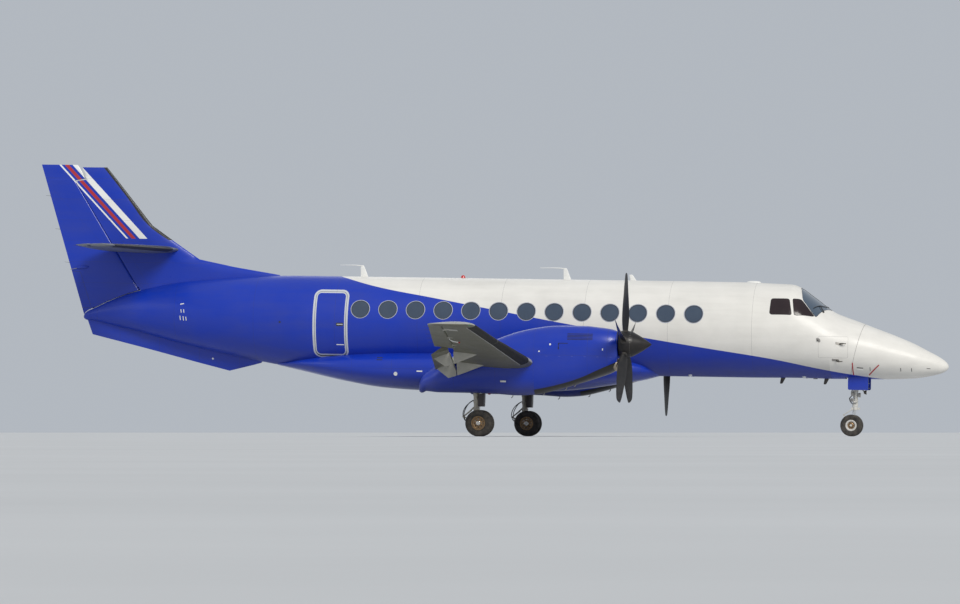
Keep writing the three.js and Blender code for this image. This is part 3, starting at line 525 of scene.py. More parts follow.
class Nodes:
    """short names for the shader nodes used here"""

    def __init__(self, nt):
        self.nt = nt

    def link(self, value, socket):
        if hasattr(value, "is_output"):
            self.nt.links.new(value, socket)
        elif isinstance(value, (tuple, list)):
            socket.default_value = (*value, 1.0) if len(value) == 3 and len(socket.default_value) == 4 else value
        else:
            socket.default_value = value

    def math(self, op, a, b=0.0, c=None, clamp=False):
        n = self.nt.nodes.new("ShaderNodeMath")
        n.operation, n.use_clamp = op, clamp
        self.link(a, n.inputs[0])
        self.link(b, n.inputs[1])
        if c is not None:
            self.link(c, n.inputs[2])
        return n.outputs[0]

    def add(self, a, b):
        return self.math("ADD", a, b)

    def sub(self, a, b):
        return self.math("SUBTRACT", a, b)

    def mul(self, a, b):
        return self.math("MULTIPLY", a, b)

    def absolute(self, a):
        return self.math("ABSOLUTE", a)

    def step(self, value, low, high):
        """0 below low, 1 above high"""
        n = self.nt.nodes.new("ShaderNodeMapRange")
        n.interpolation_type = "LINEAR"
        self.link(value, n.inputs[0])
        n.inputs[1].default_value, n.inputs[2].default_value = low, high
        n.inputs[3].default_value, n.inputs[4].default_value = 0.0, 1.0
        return n.outputs[0]

    def coords(self):
        """x, y, z of the drawing frame"""
        tc = self.nt.nodes.new("ShaderNodeTexCoord")
        mp = self.nt.nodes.new("ShaderNodeMapping")
        mp.vector_type = "POINT"
        mp.inputs["Rotation"].default_value = (0, -STANCE, 0)
        off = back(np.array([0.0, 0.0, 0.0]))
        mp.inputs["Location"].default_value = tuple(off)
        self.nt.links.new(tc.outputs["Object"], mp.inputs["Vector"])
        sp = self.nt.nodes.new("ShaderNodeSeparateXYZ")
        self.nt.links.new(mp.outputs[0], sp.inputs[0])
        self.vec = mp.outputs[0]
        return sp.outputs[0], sp.outputs[1], sp.outputs[2]

    def stretch(self, scale):
        mp = self.nt.nodes.new("ShaderNodeMapping")
        mp.inputs["Scale"].default_value = scale
        self.nt.links.new(self.vec, mp.inputs["Vector"])
        return mp.outputs[0]

    def noise(self, scale, detail=4, rough=0.55, vec=None):
        n = self.nt.nodes.new("ShaderNodeTexNoise")
        n.inputs["Scale"].default_value, n.inputs["Detail"].default_value = scale, detail
        n.inputs["Roughness"].default_value = rough
        self.nt.links.new(vec or self.vec, n.inputs["Vector"])
        return n.outputs[0]

    def mix(self, fac, a, b):
        n = self.nt.nodes.new("ShaderNodeMix")
        n.data_type = "RGBA"
        self.link(fac, n.inputs[0])
        self.link(a, n.inputs[6])
        self.link(b, n.inputs[7])
        return n.outputs[2]

    def mixf(self, fac, a, b):
        return self.add(a, self.mul(fac, self.sub(b, a)) if not (isinstance(a, float) and isinstance(b, float)) else self.mul(fac, b - a))

    def line(self, value, at, half):
        """1 within half of at"""
        return self.math("LESS_THAN", self.absolute(self.sub(value, at)), half)

    def repeat(self, value, period, half, shift=0.0):
        """1 within half of each multiple of period"""
        w = self.math("WRAP", self.add(value, shift + period / 2), period, 0.0)
        return self.math("LESS_THAN", self.absolute(self.sub(w, period / 2)), half)

    def most(self, *values):
        v = values[0]
        for w in values[1:]:
            v = self.math("MAXIMUM", v, w)
        return v

    def curve(self, value, points, x0, x1, y0, y1):
        """y over x through points, both scaled to 0..1 for the curve"""
        n = self.nt.nodes.new("ShaderNodeFloatCurve")
        c = n.mapping.curves[0]
        pts = sorted(((x - x0) / (x1 - x0), (y - y0) / (y1 - y0)) for x, y in points)
        c.points[0].location, c.points[1].location = pts[0], pts[-1]
        for p in pts[1:-1]:
            c.points.new(*p)
        for p in c.points:
            p.handle_type = "AUTO_CLAMPED"
        n.mapping.update()
        self.link(1.0, n.inputs[0])
        self.link(self.math("DIVIDE", self.sub(value, x0), x1 - x0), n.inputs[1])
        return self.add(self.mul(n.outputs[0], y1 - y0), y0)

    def round_rect(self, u, v, u0, u1, v0, v1, r):
        """signed distance to a rounded rectangle"""
        qx = self.sub(self.absolute(self.sub(u, (u0 + u1) / 2)), (u1 - u0) / 2 - r)
        qy = self.sub(self.absolute(self.sub(v, (v0 + v1) / 2)), (v1 - v0) / 2 - r)
        px, py = self.math("MAXIMUM", qx, 0.0), self.math("MAXIMUM", qy, 0.0)
        out = self.math("SQRT", self.add(self.mul(px, px), self.mul(py, py)))
        ins = self.math("MINIMUM", self.math("MAXIMUM", qx, qy), 0.0)
        return self.sub(self.add(out, ins), r)

    def bump(self, height, strength, distance, bs):
        n = self.nt.nodes.new("ShaderNodeBump")
        n.inputs["Strength"].default_value, n.inputs["Distance"].default_value = strength, distance
        self.nt.links.new(height, n.inputs["Height"])
        self.nt.links.new(n.outputs[0], bs.inputs["Normal"])


WHITE, BLUE, BAND = (0.77, 0.75, 0.71), (0.0022, 0.030, 0.385), (0.56, 0.58, 0.62)
RED = (0.42, 0.025, 0.03)
# livery border on the fuselage side: x, z; white above it, blue below and aft
BORDER = [
    (-13.2, 1.1),
    (-12.7, 0.97),
    (-11.83, 0.754),
    (-10.7, 0.556),
    (-9.2, 0.29),
    (-8.0, 0.078),
    (-6.54, -0.16),
    (-5.09, -0.383),
    (-3.54, -0.613),
    (-2.65, -0.784),
    (-2.03, -0.887),
    (-1.46, -0.962),
    (-1.1, -1.0),
    (-0.4, -1.1),
]
# doors: name, side (1 port), x aft, x fore, sill z, head z, gap at sill, gap at head
DOORS = [
    ("passenger_door", 1, -4.72, -3.98, -0.68, 0.74, 0.006, 0.018),
    ("baggage_door", 1, -14.11, -12.92, -0.55, 0.69, 0.02, 0.006),
    ("rear_door", -1, -13.15, -12.5, -0.67, 0.65, 0.02, 0.006),
]
DOOR_R = 0.11


def painted(name, base, rough=0.30, dirt=(0.09, 0.085, 0.075), dirt_amount=0.25, coat=0.25, spec=0.38, grain=True, marks=None):
    """gloss paint over metal: fine orange peel, soft dirt streaks along the airflow; marks(n, x, y, z, colour) adds
    what is painted on
    """
    m, nt, bs = new_material(name)
    n = Nodes(nt)
    x, y, z = n.coords()
    colour, line = base, None
    got = marks(n, x, y, z) if marks else {}
    if "colour" in got:
        colour = got["colour"]
    streak = n.noise(1.0, 6, 0.6, n.stretch((0.5, 5.0, 5.0)))
    cloud = n.noise(1.7, 5, 0.55)
    dirty = n.mul(n.step(n.mul(streak, cloud), 0.14, 0.46), dirt_amount)
    if "dirt" in got:
        dirty = n.math("MINIMUM", n.add(dirty, got["dirt"]), 0.85)
    if "matte" in got:
        dirty = n.mul(dirty, n.sub(1.0, n.mul(got["matte"], 0.85)))
    colour = n.mix(dirty, colour, dirt)
    if "line" in got:
        colour = n.mix(n.mul(got["line"], 0.55), colour, (0.03, 0.03, 0.035))
    n.link(colour, bs.inputs["Base Color"])
    fine = n.noise(7.0, 6, 0.6)
    gloss = n.add(n.mul(fine, 0.16), n.add(n.mul(dirty, 0.4), rough - 0.08))
    if "matte" in got:
        gloss = n.add(gloss, n.mul(got["matte"], 0.4))
    n.link(gloss, bs.inputs["Roughness"])
    bs.inputs["Coat Weight"].default_value = coat
    bs.inputs["Coat Roughness"].default_value = 0.17
    bs.inputs["Specular IOR Level"].default_value = spec
    if grain:
        h = n.add(n.mul(n.noise(1.6, 2), 0.5), n.mul(n.noise(90, 2), 0.012))
        if "line" in got:
            h = n.sub(h, n.mul(got["line"], 0.35))
        if "rivet" in got:
            h = n.add(h, n.mul(got["rivet"], 0.12))
        n.bump(h, 0.35, 0.004, bs)
    return m


def skin_joints(n, x, y, z):
    """lap joints and rivet rows of the fuselage skin"""
    turn = n.math("ARCTAN2", z, y)
    rings = n.repeat(x, 1.749, 0.0022, 0.49)
    laps = n.most(*[n.math("LESS_THAN", n.absolute(n.sub(n.absolute(turn), a)), 0.0022) for a in (0.62, 1.15)])
    body = n.math("LESS_THAN", x, -3.9)
    line = n.mul(n.most(rings, laps), body)
    along = n.repeat(n.mul(turn, 0.99), 0.036, 0.0042)
    row_ = n.most(n.repeat(x, 0.583, 0.004, 0.02), n.repeat(x, 1.749, 0.004, 0.505))
    rivet = n.mul(n.mul(along, row_), body)
    return line, rivet


def hull_marks(n, x, y, z):
    f = n.curve(x, BORDER, -13.2, -0.4, -1.1, 1.1)
    under = n.step(n.sub(f, z), -0.0015, 0.0015)
    aft = n.math("LESS_THAN", x, -13.1)
    blue = n.math("MAXIMUM", under, aft)
    blue = n.mul(blue, n.math("LESS_THAN", x, -0.42))
    shade = n.noise(0.6, 3)
    white = n.mix(n.step(shade, 0.3, 0.8), WHITE, (0.74, 0.72, 0.675))
    deep = n.mix(n.step(shade, 0.3, 0.8), BLUE, (0.0028, 0.034, 0.42))
    colour = n.mix(blue, white, deep)
    # light outline round the doors
    for name, side, xa, xf, zs, zh, *_ in DOORS:
        d = n.round_rect(x, z, xa - 0.01, xf + 0.01, zs - 0.01, zh + 0.01, DOOR_R + 0.005)
        near = n.mul(n.math("LESS_THAN", n.absolute(d), 0.036), n.math("GREATER_THAN", n.mul(y, side), 0.0))
        colour = n.mix(near, colour, BAND if name != "passenger_door" else (0.08, 0.13, 0.46))
    line, rivet = skin_joints(n, x, y, z)
    # radome joint and nose panels
    joint = n.math("LESS_THAN", n.absolute(n.sub(n.sub(x, -1.76), n.mul(n.sub(z, 0.03), 0.2397))), 0.0035)
    panel = n.round_rect(x, z, -2.62, -2.02, -0.56, -0.12, 0.03)
    hatch = n.math("LESS_THAN", n.absolute(panel), 0.002)
    bay = n.mul(n.math("LESS_THAN", n.absolute(n.sub(n.absolute(y), 0.235)), 0.002), n.mul(n.line(x, -1.86, 0.32), n.math("LESS_THAN", z, -0.7)))
    line = n.most(line, joint, hatch, bay)
    # darker towards the bottom, aft of the nose
    lower_darkening = n.mul(n.step(z, -0.55, -1.0), 0.35)
    return {"colour": colour, "line": line, "rivet": rivet, "dirt": n.mul(lower_darkening, n.math("LESS_THAN", x, -2.4))}


def fin_marks(n, x, y, z):
    """plain slanted bars of white and red, and the black boot on the leading edge"""
    # distance aft of a line parallel to the leading edge of the upper fin
    lead = n.add(n.mul(n.sub(z, 1.64), -0.965), -16.33)
    aft = n.sub(lead, x)
    up = n.mul(n.step(z, 1.72, 1.722), n.math("LESS_THAN", z, 3.30))
    bar1 = n.mul(n.math("LESS_THAN", n.absolute(n.sub(aft, 0.62)), 0.085), up)
    bar2 = n.mul(n.math("LESS_THAN", n.absolute(n.sub(aft, 0.83)), 0.045), up)
    bar3 = n.mul(n.math("LESS_THAN", n.absolute(n.sub(aft, 0.97)), 0.022), up)
    deep = n.mix(n.step(n.noise(0.6, 3), 0.3, 0.8), BLUE, (0.0028, 0.034, 0.42))
    colour = n.mix(bar1, deep, (0.82, 0.82, 0.80))
    colour = n.mix(bar2, colour, RED)
    colour = n.mix(bar3, colour, (0.82, 0.82, 0.80))
    front = n.curve(z, [(1.64, -16.33), (2.007, -16.86), (2.6, -17.34), (3.0, -17.668), (3.215, -17.85)], 1.64, 3.215, -17.9, -16.3)
    boot = n.mul(n.math("LESS_THAN", n.sub(front, x), 0.075), n.math("GREATER_THAN", z, 1.70))
    colour = n.mix(boot, colour, (0.012, 0.012, 0.013))
    tab = n.mul(n.line(n.add(x, n.mul(z, 0.3403)), -18.049, 0.006), n.line(z, 0.63, 0.38))
    ends = n.mul(n.most(n.line(z, 1.011, 0.006), n.line(z, 0.25, 0.006)), n.math("LESS_THAN", n.add(x, n.mul(z, 0.3403)), -18.049))
    ribs = n.most(tab, ends, n.repeat(z, 0.44, 0.002, 0.1), n.line(aft, 1.62, 0.0018), n.line(n.sub(x, n.mul(z, -0.619)), -16.45, 0.002))
    rivet = n.mul(n.repeat(z, 0.44, 0.006, 0.1), n.repeat(x, 0.04, 0.0045))
    return {"colour": colour, "line": n.mul(ribs, 0.9), "rivet": rivet, "matte": boot}


def blue_marks(n, x, y, z):
    deep = n.mix(n.step(n.noise(0.7, 3), 0.3, 0.8), BLUE, (0.0028, 0.034, 0.42))
    line = n.most(n.repeat(x, 0.86, 0.0022, 0.31), n.line(z, -0.93, 0.0018))
    rivet = n.mul(n.repeat(x, 0.86, 0.006, 0.33), n.repeat(n.add(z, y), 0.04, 0.0045))
    # darker towards the bottom
    lower_darkening = n.mul(n.step(z, -1.1, -1.45), 0.4)
    return {"colour": deep, "line": line, "rivet": rivet, "dirt": lower_darkening}


def cowl_marks(n, x, y, z):
    deep = n.mix(n.step(n.noise(0.7, 3), 0.3, 0.8), BLUE, (0.0028, 0.034, 0.42))
    line = n.most(
        n.line(x, -6.62, 0.0025),
        n.line(x, -7.02, 0.002),
        n.line(x, -8.12, 0.0025),
        n.line(x, -9.05, 0.002),
        n.mul(n.line(z, -0.62, 0.002), n.math("GREATER_THAN", x, -8.12)),
    )
    latch = n.mul(n.mul(n.repeat(x, 0.26, 0.022, 0.05), n.line(z, -0.642, 0.006)), n.math("GREATER_THAN", x, -8.05))
    rivet = n.mul(n.most(n.line(x, -6.64, 0.005), n.line(x, -8.14, 0.005), n.line(x, -8.10, 0.005)), n.repeat(z, 0.045, 0.005))
    soot = n.mul(n.step(x, -8.3, -9.6), n.step(z, -0.9, -1.3))
    # near-black along the keel, from the intake back: painted shade over some soot
    keel = n.curve(x, [(-8.2, -1.345), (-7.7, -1.235), (-7.2, -1.08), (-6.8, -0.90), (-6.4, -0.72)], -8.2, -6.4, -1.5, -0.5)
    under = n.mul(n.math("LESS_THAN", z, keel), n.math("GREATER_THAN", x, -8.12))
    return {"colour": n.mix(under, n.mix(n.mul(latch, 0.12), deep, (0.35, 0.36, 0.4)), (0.011, 0.010, 0.010)), "line": line, "rivet": rivet, "dirt": n.mul(soot, 0.25)}


# the underside grey is far darker than the top grey: painted shade under the wing
GREY_TOP, GREY_UNDER_SHADED = (0.40, 0.405, 0.385), (0.118, 0.115, 0.080)


def wing_marks(n, x, y, z):
    ay = n.absolute(y)
    # leading edge line outboard of the nacelle, and the boots in two lengths
    lead = n.sub(-7.965, n.mul(ay, 0.0494))
    depth = n.sub(lead, x)
    span = n.mul(n.math("GREATER_THAN", ay, 3.86), n.math("LESS_THAN", ay, 8.93))
    span = n.add(span, n.mul(n.math("GREATER_THAN", ay, 1.85), n.math("LESS_THAN", ay, 2.75)))
    boot = n.mul(n.mul(n.math("LESS_THAN", depth, 0.17), span), n.math("GREATER_THAN", n.absolute(n.sub(ay, 6.67)), 0.006))
    chord = n.add(-1.21, n.mul(ay, 0.1228))
    # the underside is darker than the top, and so is its cloudy tone: painted shade
    low = n.step(n.sub(chord, z), 0.0, 0.012)
    grey = n.mix(low, GREY_TOP, GREY_UNDER_SHADED)
    grey = n.mix(n.mul(n.step(n.noise(1.3, 4), 0.45, 0.75), 0.3), grey, n.mix(low, (0.30, 0.29, 0.25), (0.17, 0.16, 0.12)))
    edge = n.mul(n.math("GREATER_THAN", depth, 0.17), n.math("LESS_THAN", depth, 0.182))
    colour = n.mix(n.mul(edge, span), grey, (0.5, 0.5, 0.48))
    colour = n.mix(boot, colour, (0.012, 0.012, 0.013))
    # light patch under the tip
    patch = n.mul(n.mul(n.line(x, -9.0, 0.165), n.line(ay, 8.5, 0.085)), low)
    colour = n.mix(n.mul(patch, 0.8), colour, (0.55, 0.54, 0.5))
    spar = n.most(n.line(depth, 0.34, 0.002), n.line(depth, 0.93, 0.002), n.repeat(ay, 0.62, 0.002, 0.2))
    spar = n.mul(spar, n.sub(1.0, boot))
    rivet = n.mul(n.most(n.line(depth, 0.36, 0.005), n.line(depth, 0.91, 0.005)), n.repeat(ay, 0.035, 0.005))
    rivet2 = n.mul(n.repeat(ay, 0.62, 0.006, 0.22), n.repeat(x, 0.035, 0.005))
    return {"colour": colour, "line": n.mul(spar, 0.8), "rivet": n.mul(n.most(rivet, rivet2), n.sub(1.0, boot)), "matte": boot}


def surface_marks(n, x, y, z):
    ay = n.absolute(y)
    # flaps and ailerons take the dark underside grey all over: painted shade
    grey = n.mix(n.mul(n.step(n.noise(1.3, 4), 0.45, 0.75), 0.3), (0.150, 0.146, 0.108), (0.12, 0.117, 0.085))
    grey = n.mix(n.math("LESS_THAN", ay, 1.42), grey, BLUE)
    line = n.repeat(ay, 0.465, 0.002, 0.1)
    rivet = n.mul(n.repeat(ay, 0.465, 0.006, 0.12), n.repeat(x, 0.035, 0.005))
    return {"colour": grey, "line": n.mul(line, 0.8), "rivet": rivet}


def tail_marks(n, x, y, z):
    ay = n.absolute(y)
    lead = n.sub(-16.2684, n.mul(ay, 0.2125))
    depth = n.sub(lead, x)
    boot = n.mul(n.math("LESS_THAN", depth, 0.13), n.mul(n.math("GREATER_THAN", ay, 0.32), n.math("LESS_THAN", ay, 3.16)))
    grey = n.mix(n.mul(n.step(n.noise(1.3, 4), 0.45, 0.75), 0.3), (0.110, 0.124, 0.150), (0.09, 0.10, 0.122))
    colour = n.mix(boot, grey, (0.012, 0.012, 0.013))
    line = n.mul(n.most(n.repeat(ay, 0.52, 0.002, 0.1), n.line(depth, 0.55, 0.002)), n.sub(1.0, boot))
    rivet = n.mul(n.mul(n.repeat(ay, 0.52, 0.006, 0.12), n.repeat(x, 0.035, 0.005)), n.sub(1.0, boot))
    return {"colour": colour, "line": n.mul(line, 0.8), "rivet": rivet, "matte": boot}


def plain(name, base, rough=0.4, metal=0.0, scale=9.0, amount=0.25, bump=0.0, other=None, coat=0.0, spec=0.5):
    """one finish with cloudy colour and roughness changes"""
    m, nt, bs = new_material(name)
    n = Nodes(nt)
    n.coords()
    other = other or tuple(c * 0.72 for c in base)
    f = n.noise(scale, 6, 0.6)
    n.link(n.mix(n.mul(n.step(f, 0.35, 0.7), amount), base, other), bs.inputs["Base Color"])
    n.link(n.add(n.mul(n.noise(scale * 2.3, 4), 0.2), rough - 0.1), bs.inputs["Roughness"])
    bs.inputs["Metallic"].default_value = metal
    bs.inputs["Coat Weight"].default_value = coat
    bs.inputs["Specular IOR Level"].default_value = spec
    if bump:
        n.bump(n.noise(scale * 6, 4), 0.3, bump, bs)
    return m


HULL = painted("hull_paint", None, marks=hull_marks, dirt_amount=0.16, coat=0.1, rough=0.42)
FINP = painted("fin_paint", None, marks=fin_marks, dirt_amount=0.14)
BLUEP = painted("blue_paint", None, marks=blue_marks, dirt_amount=0.16)
COWLP = painted("cowl_paint", None, marks=cowl_marks, dirt_amount=0.16)
WINGP = painted("wing_paint", None, marks=wing_marks, rough=0.46, dirt_amount=0.3, coat=0.03, dirt=(0.13, 0.12, 0.095))
FLAPP = painted("flap_paint", None, marks=surface_marks, rough=0.46, dirt_amount=0.3, coat=0.03, dirt=(0.13, 0.12, 0.095))
TAILP = painted("tail_paint", None, marks=tail_marks, rough=0.4, dirt_amount=0.25, coat=0.2, dirt=(0.13, 0.12, 0.095))
FAIRP = plain("fairing_paint", (0.40, 0.39, 0.345), 0.45, amount=0.5, other=(0.29, 0.28, 0.24), bump=0.001)
GLASS = plain("dark_glass", (0.018, 0.012, 0.014), 0.16, scale=2.0, amount=0.6, other=(0.040, 0.024, 0.026), coat=0.08, spec=0.32)
SCREEN = plain("windscreen_glass", (0.035, 0.062, 0.10), 0.12, scale=2.0, amount=0.5, other=(0.055, 0.085, 0.125), coat=1.0, spec=0.7)
CABIN_GLASS = plain("cabin_glass", (0.028, 0.048, 0.085), 0.16, scale=3.0, amount=0.5, other=(0.05, 0.075, 0.115), coat=0.8, spec=0.6)
FRAME = plain("window_frame", (0.40, 0.43, 0.52), 0.38, 0.0, scale=30, amount=0.3)
SEAL = plain("window_seal", (0.02, 0.02, 0.022), 0.7, scale=40, amount=0.5, other=(0.05, 0.05, 0.05), bump=0.0006)
LINING = plain("lining", (0.42, 0.43, 0.40), 0.7, scale=5, amount=0.4, other=(0.30, 0.31, 0.29), bump=0.002)
WELL = plain("well_paint", (0.34, 0.36, 0.30), 0.6, scale=7, amount=0.5, other=(0.20, 0.20, 0.17), bump=0.002)
BLACK = plain("blade_black", (0.013, 0.013, 0.015), 0.42, scale=6, amount=0.6, other=(0.030, 0.027, 0.025), bump=0.0006, coat=0.06, spec=0.32)
SPIN = plain("spinner_black", (0.012, 0.0115, 0.0125), 0.40, 0.0, scale=5, amount=0.7, other=(0.03, 0.025, 0.023), coat=0.06, spec=0.3)
BOOT = plain("boot_rubber", (0.012, 0.012, 0.013), 0.55, scale=12, amount=0.5, other=(0.03, 0.03, 0.03), bump=0.0006)
TAN = plain("leg_paint", (0.50, 0.46, 0.37), 0.42, 0.0, scale=11, amount=0.55, other=(0.30, 0.26, 0.19), bump=0.001)
PALE = plain("pale_paint", (0.62, 0.61, 0.57), 0.42, 0.0, scale=11, amount=0.5, other=(0.38, 0.35, 0.30), bump=0.001)
CHROME = plain("polished_steel", (0.78, 0.78, 0.77), 0.16, 1.0, scale=14, amount=0.25, other=(0.55, 0.53, 0.5))
STEEL = plain("bare_steel", (0.42, 0.41, 0.39), 0.38, 0.9, scale=16, amount=0.6, other=(0.22, 0.19, 0.16), bump=0.0006)
DARKM = plain("dark_metal", (0.06, 0.058, 0.055), 0.5, 0.6, scale=16, amount=0.6, other=(0.12, 0.10, 0.08), bump=0.0006)
HOSE = plain("hose_rubber", (0.02, 0.02, 0.021), 0.6, scale=40, amount=0.5, other=(0.05, 0.048, 0.045), bump=0.0008)
LIP = plain("intake_lip", (0.48, 0.42, 0.34), 0.34, 0.85, scale=9, amount=0.6, other=(0.25, 0.19, 0.14), bump=0.0006)
# near-black for the insides of the intake, cowl and wheel well and for louvre slots: painted shade
SHADE_BLACK = plain("shade_black", (0.012, 0.011, 0.010), 0.8, scale=9, amount=0.5, other=(0.03, 0.027, 0.024), bump=0.001)
BRONZE = plain("rim_bronze", (0.36, 0.235, 0.125), 0.42, 0.75, scale=26, amount=0.7, other=(0.14, 0.085, 0.05), bump=0.0008)
PRIM = plain("rim_pale", (0.66, 0.65, 0.62), 0.42, 0.3, scale=26, amount=0.6, other=(0.40, 0.36, 0.31), bump=0.0008)
AERIAL = plain("aerial_white", (0.78, 0.78, 0.76), 0.4, scale=20, amount=0.4, other=(0.6, 0.59, 0.56))
REDM = plain("red_mark", RED, 0.4, scale=20, amount=0.4)
LENS = plain("lamp_lens", (0.75, 0.77, 0.80), 0.08, scale=20, amount=0.3, coat=1.0, spec=0.8)
REDLENS = plain("red_lens", (0.5, 0.02, 0.02), 0.1, scale=20, amount=0.3, coat=1.0)
GREENLENS = plain("green_lens", (0.02, 0.35, 0.12), 0.1, scale=20, amount=0.3, coat=1.0)


def tyre_material():
    m, nt, bs = new_material("tyre_rubber")
    n = Nodes(nt)
    x, y, z = n.coords()
    dust = n.step(n.noise(14, 6, 0.65), 0.35, 0.7)
    n.link(n.mix(n.mul(dust, 0.65), (0.028, 0.027, 0.026), (0.115, 0.098, 0.08)), bs.inputs["Base Color"])
    n.link(n.add(n.mul(n.noise(40, 4), 0.2), 0.62), bs.inputs["Roughness"])
    bs.inputs["Specular IOR Level"].default_value = 0.3
    n.bump(n.noise(120, 5), 0.35, 0.0012, bs)
    return m


TYRE = tyre_material()


# ------------------------------------------------------------------ shared shapes
def mirrored(name, part, mats, body, stands=None, both=True, **kw):
    """port piece and its starboard mirror image; body and stands end in _left or _right"""
    made = []
    for side, p in (("left", part), ("right", flip_y(part))):
        b = body if body == "airframe" else body + "_" + side
        s = [q + "_" + side for q in (stands if isinstance(stands, (list, tuple)) else [stands])] if stands else ()
        made.append(make(name + "_" + side, *p, mats, b, stands=s, **kw))
    return made


def paint_faces(o, material, test):
    """give the faces that pass test(centres, normals), both in the drawing frame, another material"""
    me = o.data
    if material.name not in [m.name for m in me.materials]:
        me.materials.append(material)
    k = [m.name for m in me.materials].index(material.name)
    n = len(me.polygons)
    c, nn = np.empty(n * 3), np.empty(n * 3)
    me.polygons.foreach_get("center", c)
    me.polygons.foreach_get("normal", nn)
    nn = nn.reshape(-1, 3)
    nn = np.stack([nn[:, 0] * CT - nn[:, 2] * ST, nn[:, 1], nn[:, 0] * ST + nn[:, 2] * CT], 1)
    hit = test(back(c.reshape(-1, 3)), nn)
    idx = np.empty(n, np.int32)
    me.polygons.foreach_get("material_index", idx)
    idx[hit] = k
    me.polygons.foreach_set("material_index", idx)
    me.update()


def ring_part(loops):
    """closed ring from profile loops: loops[k] is the closed profile at step k"""
    loops = [np.asarray(q, float) for q in loops]
    n, m = len(loops), len(loops[0])
    f = []
    for k in range(n):
        for j in range(m):
            a, b = k * m + j, k * m + (j + 1) % m
            e, g = ((k + 1) % n) * m + j, ((k + 1) % n) * m + (j + 1) % m
            f.append([a, b, g, e])
    return np.concatenate(loops), f


def sampled(rows, xs, kind="pchip"):
    """rows of a table resampled at xs, first column the argument"""
    rows = np.asarray(rows, float)
    order = np.argsort(rows[:, 0])
    r = rows[order]
    if kind == "pchip":
        cols = [Pchip(r[:, 0], r[:, k])(xs) for k in range(1, r.shape[1])]
    else:
        cols = [np.interp(xs, r[:, 0], r[:, k]) for k in range(1, r.shape[1])]
    return np.stack([np.asarray(xs, float)] + cols, 1)


def hull_field(p):
    """distance from the fuselage skin and its normal"""
    x, y, z = p[:, 0], p[:, 1], p[:, 2]
    zc, hz, hy = body_section(x)
    zc, hz, hy = zc, np.maximum(hz, 1e-4), np.maximum(hy, 1e-4)
    q = np.sqrt((y / hy) ** 2 + ((z - zc) / hz) ** 2)
    r = np.sqrt(y * y + (z - zc) ** 2)
    return (q - 1) * r / np.maximum(q, 1e-6), skin_normal(p)


# ------------------------------------------------------------------ fuselage
HULL_N = 128
S_NOSE = np.concatenate([0.05 * (1 - np.cos(np.linspace(0.12, math.pi / 2, 9))), [0.062, 0.076, 0.092, 0.11, 0.13, 0.152, 0.176, 0.203, 0.233, 0.266, 0.302, 0.34, 0.38]])
S_ALL = np.concatenate([
    S_NOSE,
    np.arange(0.42, 3.7, 0.04),
    np.arange(3.72, 4.3, 0.12),
    np.arange(4.4, 13.3, 0.35),
    np.arange(13.3, 18.12, 0.08),
    18.12 + 0.18 * np.sin(np.linspace(0, 1.45, 8)),
])


def hull_rings(grow=0.0, xs=S_ALL, n=HULL_N):
    out = []
    for s in xs:
        zc, hz, hy = body_section(-s)
        out.append(oval(-s, zc, hz + grow, hy + grow, n=n))
    return out


hull_part = loft(hull_rings(), start=NOSE_TIP, end=TAIL_TIP)
NX = np.array([0.73, 0, -0.175])
NX /= np.linalg.norm(NX)
NP = np.array([-1.76, 0, 0.03])

BAY = box_part(-2.12, -1.60, -0.215, 0.215, -0.64, -1.3)
cutters, cut_mats = [], []


def add_cut(part, k):
    cutters.append(part)
    cut_mats.extend([k] * len(part[1]))


# door pockets
for name, side, xa, xf, zs, zh, gs, gh in DOORS:
    g = rounded_grid(xa - 0.008, xf + 0.008, zs - gs, zh + gh, 0.116, nx=14, nz=40, arc=9)
    add_cut(slab_grid(g, side, 0.05, -0.068), 0)

# cabin windows: x and the arc length round the cylinder
WIN_X = [-5.20 - 0.583 * k for k in range(13)]
WIN_Z = 0.30
WIN_ARC = 0.99 * math.asin(WIN_Z / 0.99)


def polar(xc, r, a, side, off):
    """point on the cabin side round a window centre"""
    x, s = xc + r * math.cos(a), WIN_ARC + r * math.sin(a)
    R = 0.99 + off
    t = s / 0.99
    return [x, side * R * math.cos(t), R * math.sin(t)]


def disc_plate(xc, side, radius, o_out, o_in, rings=4, n=48):
    v, f = [], []
    for off in (o_out, o_in):
        v.append(polar(xc, 0, 0, side, off))
        for i in range(1, rings + 1):
            v += [polar(xc, radius * i / rings, 2 * math.pi * k / n, side, off) for k in range(n)]
    m = 1 + rings * n
    for base in (0, m):
        for k in range(n):
            f.append([base, base + 1 + k, base + 1 + (k + 1) % n])
            for i in range(rings - 1):
                a = base + 1 + i * n
                f.append([a + k, a + n + k, a + n + (k + 1) % n, a + (k + 1) % n])
    a, b = 1 + (rings - 1) * n, m + 1 + (rings - 1) * n
    for k in range(n):
        f.append([a + k, b + k, b + (k + 1) % n, a + (k + 1) % n])
    return np.array(v), f


for side in (1, -1):
    for xc in WIN_X:
        add_cut(disc_plate(xc, side, 0.2045, 0.03, -0.010, rings=3), 1)

# cockpit panes: corners as (x, angle above the side), found on the side-view outline
def surface_point(x, t, side, off=0.0):
    zc, hz, hy = body_section(x)
    p = np.stack([x, side * hy * np.cos(t), zc + hz * np.sin(t)], -1)
    return p + skin_normal(p) * off


def angle_at(x, z):
    zc, hz, hy = body_section(x)
    return float(np.arcsin(np.clip((z - zc) / hz, -1, 1)))


def angle_of_y(x, y):
    zc, hz, hy = body_section(x)
    return float(np.arccos(y / hy))


